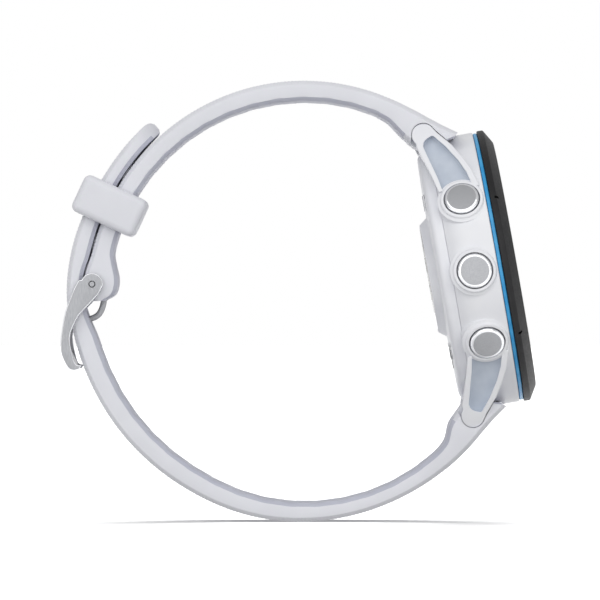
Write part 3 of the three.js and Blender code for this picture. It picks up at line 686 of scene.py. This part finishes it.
def makeBackCover():
    face, sensor, rim = case["backFace"], case["sensorRadius"], case["coverRadius"]
    top = case["bottom"] - 0.03
    edge = [(rim - 1.0 + 1.0 * math.cos(a), face + 1.2 - 1.0 * math.sin(a))
            for a in [math.radians(90 - 15 * i) for i in range(7)]]
    seat, ledge, lip = sensor - 1.2, face - 0.55, case["sensorFace"]
    outside, inside = back["spigotOuter"], back["spigotInner"]
    profile = [(seat, ledge), (sensor + 0.1, ledge), (sensor + 0.1, lip + 0.1), (sensor + 0.15, lip + 0.04),
               (sensor + 0.28, lip + 0.05), (sensor + 0.55, lip + 0.38), (sensor + 1.3, face - 0.12),
               (sensor + 1.5, face - 0.02), (sensor + 1.8, face), (17.5, face + 0.13)] + edge
    profile += [(rim, top - 0.08), (rim - 0.08, top), (outside, top), (outside, top + 0.9),
                (inside, top + 0.9), (inside, face + 1.0), (seat, face + 1.0), (seat, ledge)]
    cover = turned("backCover", profile)
    y, z, middle = back["socketY"] + 0.3, back["socketZ"] + 0.3, back["socketMiddle"]
    well = block("well", (-9, -y, middle - z), (0, y, middle + z))
    softenEdges(well, 0.5, 3, 60)
    carve(cover, well)
    turn = math.radians(back["screwAngle"])
    for sy in (-1, 1):
        for sz in (-1, 1):
            cy, cz = sy * back["screwCircle"] * math.cos(turn), sz * back["screwCircle"] * math.sin(turn)
            carve(cover, rod("seat", (face - 2, cy, cz), (face + 0.55, cy, cz), back["screwHead"] + 0.25, 48))
            carve(cover, rod("shaft", (face - 2, cy, cz), (0, cy, cz), 1.1, 32))
    return finishPiece(cover, caseWhite, "watch_case", ["back_cover"])


def makeSensor():
    face, r = case["sensorFace"], case["sensorRadius"]
    low = case["backFace"] - 0.65
    profile = [(0, low), (r - 0.1, low), (r, low - 0.1), (r, face + 0.3), (r - 0.1, face + 0.12),
               (r - 0.35, face), (0, face)]
    window = turned("sensorWindow", profile)
    finishPiece(window, glass, "watch_case", ["sensor_window"])
    optics = []
    for i in range(6):
        turnBy = math.radians(60 * i + 30)
        cy, cz = back["opticsCircle"] * math.cos(turnBy), back["opticsCircle"] * math.sin(turnBy)
        if i % 3 == 1:
            lamp = rod("lamp", (face + 0.02, cy, cz), (face - 0.02, cy, cz), 1.25, 40)
        else:
            lamp = block("diode", (face - 0.02, -1.15, -0.8), (face + 0.02, 1.15, 0.8))
            applyPlace(lamp, Matrix.Translation(Vector((0, cy, cz)) * mm) @ Matrix.Rotation(turnBy, 4, "X"))
        optics.append(lamp)
    optics.append(rod("lamp", (face + 0.02, 0, 0), (face - 0.02, 0, 0), 1.5, 48))
    finishPiece(joined("sensorOptics", optics), opticsGlass, "watch_case", [])


opticsGlass = plainPolymer("opticsResin", "1d2b26", "2c3f37", 0.12, 0.4)
makeBackCover()
makeSensor()
print("back made")


# push buttons

def makeButton(name, side, turn):
    face, r = -case["buttonFace"], case["buttonRadius"]
    profile = [(0, face), (2.3, face), (2.4, face + 0.01), (2.46, face + 0.04)]
    profile += [(r - 0.42 + 0.42 * math.sin(a), face + 0.46 - 0.42 * math.cos(a))
                for a in [math.radians(10 + 10 * i) for i in range(9)]]
    profile += [(r, face + 1.3), (r - 0.1, face + 1.4), (1.25, face + 1.4), (1.25, -19.3), (0, -19.3)]
    cap = turned(name + "ButtonCap", profile, 72)
    applyPlace(cap, buttonTurn(side, turn) @ Matrix.Rotation(math.pi / 2, 4, "Z"))
    tidyMesh(cap)
    inner = caseMatrix @ buttonTurn(side, turn)
    finishPiece(cap, satin, name + "_button", [name + "_button_cap"], angle=25)
    cap.data.materials.append(polished)
    axisStart = inner @ Vector((0, 0, 0))
    axis = (inner.to_3x3() @ Vector((0, -1, 0))).normalized()
    for polygon in cap.data.polygons:
        away = polygon.center - axisStart
        out = away.dot(axis)
        radius = (away - axis * out).length
        polygon.material_index = 1 if radius > 2.38 * mm or out < 23.0 * mm else 0


for buttonName, buttonSide, buttonAngle in buttons:
    makeButton(buttonName, buttonSide, buttonAngle)
print("buttons made")


# the two straps

strapMake = {
    "ringStep": 0.15,
    "ribPitch": 0.6,
    "ribDepth": 0.07,
    "leafPitch": 4.65,
    "leafLength": 2.3,
    "leafDepth": 0.1,
    "holeLength": 2.6,
    "holeWidth": 5.0,
    "holePitch": 4.65,
    "firstHole": 6.23,
    "tipReach": 8.0,
    "leverInset": 3.6,
}
halfWidth = band["width"] / 2


def along(length):  # degrees round the loop for a length on the band's outer surface
    return math.degrees(length / outerRadius)


def onLoop(radius, angle):
    turn = math.radians(angle)
    return Vector((loopX + radius * math.cos(turn), 0, loopZ + radius * math.sin(turn)))


def strapSection():  # (y, depth from the inner face) corners round a strap's cross-section
    c, t, rounding = band["chamfer"], band["thickness"], 0.16
    corner = [(halfWidth - c - rounding, 0.0), (halfWidth - c + 0.07, 0.05), (halfWidth - 0.05, c - 0.07),
              (halfWidth, c + rounding)]
    flat = halfWidth - c - rounding
    across = [-flat + 2 * flat * i / 12 for i in range(1, 12)]
    inner = [(y, 0.0) for y in across]
    right = corner + [(y, t - d) for y, d in corner[::-1]]
    outer = [(y, t) for y in across[::-1]]
    left = [(-y, d) for y, d in right[::-1]]
    return inner + right + outer + left


def sweptStrap(name, rings):  # rings of (inner point, outer point, shaping function)
    section = strapSection()
    base = 30.0
    obj = drawLine(name, [(base + d, y, 0) for y, d in section])
    bpy.ops.mesh.select_all(action="SELECT")
    bpy.ops.mesh.edge_face_add()
    bpy.ops.mesh.select_mode(type="FACE")
    bpy.ops.mesh.delete(type="ONLY_FACE")
    bpy.ops.mesh.select_mode(type="EDGE")
    bpy.ops.mesh.select_all(action="SELECT")
    total = math.radians(160)
    bpy.ops.mesh.spin(steps=len(rings) - 1, angle=total, center=(0, 0, 0), axis=(0, 1, 0))
    bpy.ops.mesh.select_all(action="SELECT")
    bpy.ops.mesh.fill_holes(sides=0)
    bpy.ops.object.mode_set(mode="OBJECT")
    step = total / (len(rings) - 1)
    thick = band["thickness"]
    for vertex in obj.data.vertices:
        x, y, z = [v / mm for v in vertex.co]
        inner, outer, shape = rings[round(abs(math.atan2(z, x)) / step)]
        depth = math.hypot(x, z) - base
        reach = (outer - inner).length
        y, offset = shape(y, depth)
        if depth <= thick / 2:
            place = inner + (outer - inner) * (min(depth, reach / 2) + offset) / reach
        else:
            place = outer - (outer - inner) * (min(thick - depth, reach / 2) + offset) / reach
        vertex.co = Vector((place.x, y, place.z)) * mm
    return tidyMesh(obj, 0.001)


def strapShape(length, away, ribs, leaves, tip):  # how one ring of the strap is widened and textured
    flare = 1 + (band["shoulderWidth"] / band["width"] - 1) * ease(1 - away / 15)
    narrow = 1.0
    if tip is not None and tip < strapMake["tipReach"]:
        share = 1 - tip / strapMake["tipReach"]
        narrow = max((1 - share ** 2.4) ** (1 / 2.4), 0.2)
    wave = 0.5 - 0.5 * math.cos(2 * math.pi * length / strapMake["ribPitch"])
    leaf = (length / strapMake["leafPitch"] + 0.5) % 1 - 0.5
    leafAt = abs(leaf) * strapMake["leafPitch"]

    def shape(y, depth):
        offset = 0.0
        if depth > band["thickness"] - 0.4:
            offset = strapMake["ribDepth"] * wave * ribs
        elif depth < 0.9 and leaves > 0:
            half = strapMake["leafLength"] / 2 * (0.62 + 0.38 * abs(y) / halfWidth)
            if leafAt < half and abs(y) > 8:
                bowl = math.sqrt(1 - (leafAt / half) ** 2)
                share = 1.0 if depth < 0.1 else 0.6
                offset = strapMake["leafDepth"] * bowl * leaves * share * ease((abs(y) - 8) / 1.5)
        return y * flare * narrow, offset

    return shape


def bandRings(start, end, innerEdge, outerEdge, barAngle, barLoop, ribbed, leafed, tipAt=None):
    count = int(abs(math.radians(end - start)) * outerRadius / strapMake["ringStep"])
    bar = onLoop(barLoop, barAngle)
    rings = []
    for i in range(count + 1):
        angle = start + (end - start) * i / count
        length = math.radians(angle) * outerRadius
        inner, outer = onLoop(innerEdge(angle), angle), onLoop(outerEdge(angle), angle)
        away = ((inner + outer) / 2 - bar).length
        ribs = min(ease((angle - ribbed[0]) / 2), ease((ribbed[1] - angle) / 2))
        leaves = 1.0 if leafed[0] < angle < leafed[1] else 0.0
        tip = None if tipAt is None else math.radians(abs(angle - tipAt)) * outerRadius
        rings.append((inner, outer, strapShape(length, away, ribs, leaves, tip)))
    return rings


def knuckleRings(side, fromInner, fromOuter):  # from the band's last ring round the bar and up to the case
    wall = [(-1.0, barZ + 1.1), (0.2, barZ + 0.25), (1.4, barZ - 0.6)]
    under = arc(case["lugDepth"], barZ, 2.5, 225, 75, 10) + [(0.6, barZ - 1.4)]
    outers = [fromOuter] + [Vector((x, 0, z * side)) for x, z in wall]
    inners = [fromInner] + [Vector((x, 0, z * side)) for x, z in under]
    rings = []
    pieces = 26
    for i in range(1, pieces + 1):
        share = i / pieces
        a, b = share * (len(inners) - 1), share * (len(outers) - 1)
        ka, kb = min(int(a), len(inners) - 2), min(int(b), len(outers) - 2)
        inner = inners[ka].lerp(inners[ka + 1], a - ka)
        outer = outers[kb].lerp(outers[kb + 1], b - kb)
        away = ((inner + outer) / 2 - Vector((case["lugDepth"], 0, barZ * side))).length
        rings.append((inner, outer, strapShape(0.0, min(away, 4), 0.0, 0.0, None)))
    return rings


def clearLugs(obj, side):
    radius = case["lugTip"] + 0.08
    edge = halfWidth - 0.2
    x, z = case["lugDepth"], barZ * side
    outline = [(-14, 0), (x - radius, barZ), (x + radius * 0.75, barZ + radius * 0.65), (-1.98, barZ + 0.08),
               (0.12, barZ - 2.42), (2.7, barZ - 6), (8, barZ - 12), (8, 0)]
    outline = outline if side > 0 else mirrored(outline)
    for y in (-1, 1):
        low, high = sorted((y * edge, y * 40))
        carve(obj, rod("lugTip", (x, low, z), (x, high, z), radius, 96))
        carve(obj, slab("wedge", outline, 30, y * (edge + 15)))
    carve(obj, rod("barBore", (x, -20, z), (x, 20, z), 1.2, 48))
    lever = -halfWidth + strapMake["leverInset"]
    recess = block("leverRecess", (x - 6, lever - 1.25, z - 1.2), (x, lever + 2.35, z + 1.2))
    carve(obj, recess)


def paintInnerShade(obj):  # painted shade: the side towards the wrist takes a slightly darker silicone that stands in for the shade inside the loop
    obj.data.materials.append(innerShadeSilicone)
    intoCase = caseMatrix.inverted()
    for polygon in obj.data.polygons:
        place = (intoCase @ polygon.center) / mm
        outward = Vector((place.x - loopX, 0, place.z - loopZ)).normalized()
        facing = (intoCase.to_3x3() @ polygon.normal).dot(outward)
        nearBar = math.hypot(place.x - case["lugDepth"], abs(place.z) - barZ) < 3.2
        # faces turned into the loop, away from the bar, get the painted shade slot
        polygon.material_index = 1 if facing < -0.35 and not nearBar else 0
    return obj


def makeBuckleStrap():
    a, r, pin, loop = upperBarAngle, upperBarLoop, band["pinAngle"], band["loopRadius"]
    middle = a + 0.366 * (pin - a)
    inner = curveThrough([
        (a + along(1.4), r - 2.45), (a + along(3.8), r - 2.0), (a + along(7.3), loop - 0.2),
        (a + along(14), loop + 0.05), (middle, loop), (pin - along(12.7), loop), (pin - along(6.04), loop),
        (pin - along(4), loop - 0.6), (pin - along(1.6), loop - 1.35), (pin + along(0.38), loop - 1.4),
        (pin + along(1.9), loop - 0.8), (pin + along(2.8), loop + 0.6)])
    outer = curveThrough([
        (a, r + 2.9), (a + along(5.1), outerRadius), (a + along(12.7), outerRadius), (middle, outerRadius),
        (pin - along(12.7), outerRadius), (pin - along(5.1), outerRadius + 0.12),
        (pin - along(1.27), bulbOuter), (pin + along(1.02), bulbOuter), (pin + along(2.35), bulbOuter - 0.55),
        (pin + along(3), pinRadius - 0.6)])
    rings = bandRings(pin + along(2.9), a + along(1.4), inner, outer, a, r,
                      (a + along(7), pin - along(4)), (a + along(9), band["keeperAngle"] - 6))
    rings += knuckleRings(1, rings[-1][0], rings[-1][1])
    strap = sweptStrap("buckleStrap", rings)
    clearLugs(strap, 1)
    middleOfPin = onLoop(pinRadius, pin)
    slot = block("tongueSlot", (-6, -2.0, -2.4), (6, 2.0, 8))
    applyPlace(slot, Matrix.Translation(middleOfPin * mm) @ Matrix.Rotation(-math.radians(pin), 4, "Y"))
    carve(strap, slot)
    return paintInnerShade(finishPiece(strap, silicone, "watch_case", ["buckle_strap"]))


def strapHoleCutter(angle):
    reach = (strapMake["holeWidth"] - strapMake["holeLength"]) / 2
    r = strapMake["holeLength"] / 2
    outline = arc(reach, 0, r, -90, 180, 14) + arc(-reach, 0, r, 90, 180, 14)
    cutter = prism("hole", [(band["loopRadius"] - 0.5, y, z) for y, z in outline], (9, 0, 0))
    turn = Matrix.Rotation(-math.radians(angle), 4, "Y")
    return applyPlace(cutter, Matrix.Translation(Vector((loopX, 0, loopZ)) * mm) @ turn)


def makeHoleStrap():
    a, r, pin, loop = lowerBarAngle, lowerBarLoop, band["pinAngle"], band["loopRadius"]
    tail, bulb, thin = band["tailAngle"], bulbOuter + band["gap"], band["tailThickness"]

    def stretch(share):
        return pin + share * (a - pin)

    inner = curveThrough([
        (tail, tailInner + 0.6), (tail + along(0.35), tailInner + 0.1), (tail + along(0.9), tailInner - 0.1),
        (pin - along(16.5), tailInner - 0.2), (pin - along(9), outerRadius + 0.32),
        (pin - along(4.6), outerRadius + 0.45), (pin - along(1.6), bulb - 0.05), (pin + along(1.6), bulb),
        (pin + along(5.1), bulb - 0.75), (pin + along(9.5), outerRadius - 0.85),
        (pin + along(20.3), loop + 1.9), (stretch(0.405), loop + 1.4), (stretch(0.561), loop + 1.75),
        (stretch(0.73), loop + 1.8), (stretch(0.865), loop + 1.55), (a - along(7), loop + 1.2),
        (a - along(3.8), r - 2.2), (a - along(1.4), r - 2.45)])
    outer = curveThrough([
        (tail, tailInner + thin - 0.9), (tail + along(0.35), tailInner + thin - 0.35),
        (tail + along(1.0), tailInner + thin - 0.05), (tail + along(1.9), tailInner + thin),
        (pin - along(16.5), tailInner + thin), (pin - along(5.7), bulb + thin),
        (pin + along(2.5), bulb + thin + 0.05), (pin + along(8.3), outerRadius + 2.95),
        (pin + along(20.3), outerRadius + 2.25), (stretch(0.405), outerRadius + 1.65),
        (stretch(0.561), outerRadius + 1.65), (stretch(0.797), outerRadius + 1.25),
        (a - along(5.1), outerRadius + 1.25), (a, r + 2.9)])
    rings = bandRings(tail, a - along(1.4), inner, outer, a, r,
                      (tail + 3, a - along(9)), (pin + along(14), a - along(12)), tail)
    rings += knuckleRings(-1, rings[-1][0], rings[-1][1])
    strap = sweptStrap("holeStrap", rings)
    clearLugs(strap, -1)
    pitch = math.degrees(strapMake["holePitch"] / (tailInner + thin / 2))
    for i in range(-6, 10):
        carve(strap, strapHoleCutter(pin + along(strapMake["firstHole"]) + i * pitch))
    return paintInnerShade(finishPiece(strap, silicone, "watch_case", ["hole_strap"]))


buckleStrap = makeBuckleStrap()
print("short strap:", len(buckleStrap.data.polygons), "faces")
holeStrap = makeHoleStrap()
print("long strap:", len(holeStrap.data.polygons), "faces")


# keeper loop

keeper = {"length": 6.75, "wall": 2.0, "clear": 0.4, "corner": 1.2, "soft": 0.35}


def makeKeeper():
    low, high = band["loopRadius"] - band["slip"], tailInner + band["tailThickness"] + band["slip"]
    wall, half, long = keeper["wall"], halfWidth + keeper["clear"], keeper["length"] / 2
    loop = block("keeperLoop", (low - wall, -half - wall, -long), (high + wall, half + wall, long))
    only(loop)
    bpy.ops.object.mode_set(mode="EDIT")
    bpy.ops.mesh.select_all(action="DESELECT")
    bpy.ops.object.mode_set(mode="OBJECT")
    for edge in loop.data.edges:
        a, b = [loop.data.vertices[i].co for i in edge.vertices]
        edge.select = abs(a.z - b.z) > 1 * mm
    bpy.ops.object.mode_set(mode="EDIT")
    bpy.ops.mesh.bevel(offset=keeper["corner"] * mm, segments=8, affect="EDGES")
    bpy.ops.object.mode_set(mode="OBJECT")
    opening = block("opening", (low, -half, -9), (high, half, 9))
    softenEdges(opening, 0.5, 4, 60)
    carve(loop, opening)
    tidyMesh(loop, 0.005)
    softenEdges(loop, keeper["soft"], 3, 50)
    place = (Matrix.Translation(Vector((loopX, 0, loopZ)) * mm)
             @ Matrix.Rotation(-math.radians(band["keeperAngle"]), 4, "Y"))
    return finishPiece(loop, silicone, "keeper", ["keeper_loop"], caseMatrix @ place, 40)


makeKeeper()
print("keeper made")


# buckle frame, its bar and the tongue, drawn about the bar

buckle = {
    "head": 1.85,
    "armWidth": 1.9,
    "bevel": 0.28,
    "pinEnd": 0.46,
    "outer": [(2.3, -0.5), (3.12, 1.4), (4.2, 5.0), (4.62, 8.5), (4.68, 10.4), (4.45, 12.1), (3.3, 14.2),
              (2.3, 14.65), (1.35, 14.4)],
    "inner": [(0.95, 13.75), (2.0, 13.5), (2.65, 11.8), (3.12, 10.0), (3.1, 8.3), (2.1, 5.7), (1.05, 4.27),
              (-0.1, 2.9), (-1.15, 1.65)],
    "crossbar": [(2.75, 12.3), (3.2, 11.4), (4.3, 11.5), (4.45, 12.1), (3.8, 13.4), (2.6, 14.15),
                 (1.9, 14.0)],
    "tongue": [(-1.6, 0.9), (-1.95, 2.3), (-1.75, 3.9), (-1.2, 5.05), (-0.3, 5.7), (1.2, 6.25), (2.7, 6.85),
               (3.6, 8.0), (4.1, 9.6), (4.3, 11.2), (4.35, 12.4)],
    "tongueWidth": 3.4,
    "tongueThickness": 1.0,
}
pinPlace = caseMatrix @ Matrix.Translation(onLoop(pinRadius, band["pinAngle"]) * mm) @ Matrix.Rotation(
    -math.radians(band["pinAngle"]), 4, "Y")
frameInner = halfWidth + 0.45


def splineThrough(points, pieces):  # a smooth open curve through the points
    result = []
    ends = [points[0]] + points + [points[-1]]
    for i in range(len(points) - 1):
        p0, p1, p2, p3 = [Vector(p) for p in ends[i:i + 4]]
        for k in range(pieces):
            t = k / pieces
            result.append(tuple(0.5 * (2 * p1 + (p2 - p0) * t + (2 * p0 - 5 * p1 + 4 * p2 - p3) * t ** 2
                                       + (3 * p1 - p0 - 3 * p2 + p3) * t ** 3)))
    return result + [points[-1]]


def makeBuckle():
    outline = splineThrough(buckle["outer"], 4) + splineThrough(buckle["inner"], 4)
    outline += arc(0, 0, buckle["head"], 180, 160, 20)
    arms = []
    middle = frameInner + buckle["armWidth"] / 2
    for side in (-1, 1):
        arm = slab("buckleArm", outline, buckle["armWidth"], side * middle)
        softenEdges(arm, buckle["bevel"], 3, 40)
        arms.append(arm)
    cross = slab("crossbar", buckle["crossbar"], 2 * frameInner + 0.6)
    softenEdges(cross, 0.2, 3, 30)
    body = arms[0]
    carve(body, arms[1], "UNION")
    carve(body, cross, "UNION")
    carve(body, block("tongueRest", (3.6, -2.0, 8), (6, 2.0, 16)))
    carve(body, rod("pinBore", (0, -20, 0), (0, 20, 0), 0.6, 40))
    tidyMesh(body, 0.003)
    body.name = "buckleFrame"
    finishPiece(body, buckleSteel, "buckle", ["buckle_frame"], pinPlace, 30)
    body.data.materials.append(polished)
    sideways = Vector((0, 1, 0))
    for polygon in body.data.polygons:
        polygon.material_index = 0 if abs(polygon.normal.dot(sideways)) > 0.97 else 1
    bar = rod("buckleBar", (0, -frameInner + 0.2, 0), (0, frameInner - 0.2, 0), 0.75, 40)
    reach = frameInner + buckle["armWidth"]
    end = rod("barEnd", (0, -reach + 0.02, 0), (0, reach - 0.02, 0), buckle["pinEnd"], 40)
    softenEdges(end, 0.1, 3, 40)
    carve(bar, end, "UNION")
    tidyMesh(bar, 0.002)
    finishPiece(bar, buckleSteel, "buckle", ["buckle_bar"], pinPlace, 40)


def makeTongue():
    centre = splineThrough(buckle["tongue"], 4)
    half = buckle["tongueThickness"] / 2
    left, right = [], []
    count = len(centre) - 1
    for i, (x, z) in enumerate(centre):
        before, after = Vector(centre[max(i - 1, 0)]), Vector(centre[min(i + 1, count)])
        t = (after - before).normalized()
        h = half * (1 - 0.45 * ease((i / count - 0.8) / 0.2))
        left.append((x - t.y * h, z + t.x * h))
        right.append((x + t.y * h, z - t.x * h))
    blade = slab("tongueBlade", right + left[::-1], buckle["tongueWidth"])
    softenEdges(blade, 0.18, 3, 40)
    eye = rod("eye", (0, -buckle["tongueWidth"] / 2, 0), (0, buckle["tongueWidth"] / 2, 0), 1.7, 48)
    softenEdges(eye, 0.15, 3, 40)
    carve(blade, eye, "UNION")
    carve(blade, rod("eyeBore", (0, -5, 0), (0, 5, 0), 0.95, 40))
    tidyMesh(blade, 0.003)
    blade.name = "buckleTongue"
    finishPiece(blade, buckleSteel, "tongue", ["buckle_tongue"], pinPlace, 40)


makeBuckle()
makeTongue()
print("buckle made")


# finishes of the pieces that keep their CAD shape

boardGreen = plainPolymer("solderMask", "143a26", "1c4a31", 0.35, 0.5)
foil = brushedSteel("batteryFoil", "9aa0a6", 0.35, 1.2, (1, 6, 1))
rubberBlack = plainPolymer("sealRubber", "161617", "1f1f20", 0.7, 0.4)
blackPolymer = plainPolymer("innerBlackPolymer", "1c1c1e", "252528", 0.45, 0.5)
gold, goldShader = newMaterial("platedGold", "d9b35c", 0.25, 1.0)
varyRoughness(gold, goldShader, noiseOver(gold, 0.3), 0.2, 0.32)  # thin gold plating, faintly uneven
finishes = {
    "main_board": boardGreen, "sensor_board": boardGreen, "battery": foil, "vibration_motor": smallSteel,
    "back_gasket": rubberBlack, "charge_contact": gold, "_seal": rubberBlack, "_clip": smallSteel,
    "_switch": smallSteel, "_bar_": smallSteel, "back_screw": smallSteel,
}
for nodeName, node in frame["nodes"].items():
    if node.hide_render:
        continue
    match = [finish for key, finish in finishes.items() if key in nodeName]
    node.data.materials.clear()
    node.data.materials.append(match[0] if match else blackPolymer)


# floor, light and camera

studio = {
    "floor": "fdfdfd",
    "room": 0.42,
    "gloss": 0.7,
    "ceiling": 3.6,
    "frontPower": 15.0,
    "stripPower": 0.25,
    "cameraBack": 1.87,
    "cameraX": 0.000215,
    "cameraZ": 0.037385,
    "viewWidth": 0.101608806,
    "sensor": 36.0,
}


def makeFloor():
    bpy.ops.object.select_all(action="DESELECT")
    bpy.ops.mesh.primitive_plane_add(size=14, location=(0, 0, 0))
    floor = bpy.context.active_object
    floor.name = "floor"
    paper, shader = newMaterial("whitePaperFloor", studio["floor"], 0.6)  # plain seamless paper, nearly white
    varyColour(paper, shader, noiseOver(paper, 400.0), "fcfcfc", "fefefe")
    floor.data.materials.append(paper)
    floor.visible_diffuse = False  # the white paper brightens the picture, not the watch
    return floor


def areaLight(name, place, aim, size, power, tall=None):
    light = bpy.data.lights.new(name, "AREA")
    light.energy = power
    light.size = size
    if tall:
        light.shape = "RECTANGLE"
        light.size_y = tall
    holder = bpy.data.objects.new(name, light)
    bpy.context.scene.collection.objects.link(holder)
    holder.location = place
    holder.rotation_euler = (Vector(aim) - Vector(place)).to_track_quat("-Z", "Y").to_euler()
    return holder


def makeStudio(floor):
    world = bpy.data.worlds.new("studioWhite")
    bpy.context.scene.world = world
    world.use_nodes = True
    room = world.node_tree.nodes["Background"]
    room.inputs["Color"].default_value = linear("ffffff")
    rays = addNode(world, "LightPath")
    seen = addNode(world, "MapRange", {"Value": rays.outputs["Is Camera Ray"]}, in_3=studio["room"], in_4=1.0)
    shiny = addNode(world, "Math", {0: rays.outputs["Is Glossy Ray"]}, operation="MULTIPLY",
                    in_1=studio["gloss"] - studio["room"])
    both = addNode(world, "Math", {0: seen.outputs["Result"], 1: shiny.outputs["Value"]}, operation="ADD")
    world.node_tree.links.new(both.outputs["Value"], room.inputs["Strength"])
    sky = bpy.data.lights.new("ceiling", "SUN")
    sky.energy = studio["ceiling"]
    sky.angle = math.radians(45)
    holder = bpy.data.objects.new("ceiling", sky)
    bpy.context.scene.collection.objects.link(holder)
    holder.rotation_euler = (math.radians(-40), 0, 0)
    paperOnly = bpy.data.collections.new("paperOnly")  # this light brightens the paper, not the watch
    paperOnly.objects.link(floor)
    holder.light_linking.receiver_collection = paperOnly
    aim = (0, 0, 0.04)
    areaLight("frontSoftbox", (-0.1, -1.2, 0.5), aim, 2.0, studio["frontPower"])
    areaLight("rightStrip", (0.7, -0.35, 0.12), aim, 0.12, studio["stripPower"], 0.6)
    camera = bpy.data.cameras.new("camera")
    holder = bpy.data.objects.new("camera", camera)
    bpy.context.scene.collection.objects.link(holder)
    holder.location = (studio["cameraX"], -studio["cameraBack"], studio["cameraZ"])
    holder.rotation_euler = (math.radians(90), 0, 0)
    camera.sensor_width = studio["sensor"]
    camera.lens = studio["sensor"] * studio["cameraBack"] / studio["viewWidth"]
    camera.clip_end = 20
    bpy.context.scene.camera = holder
    bpy.context.scene.view_settings.view_transform = "Standard"


makeStudio(makeFloor())
print("studio made")
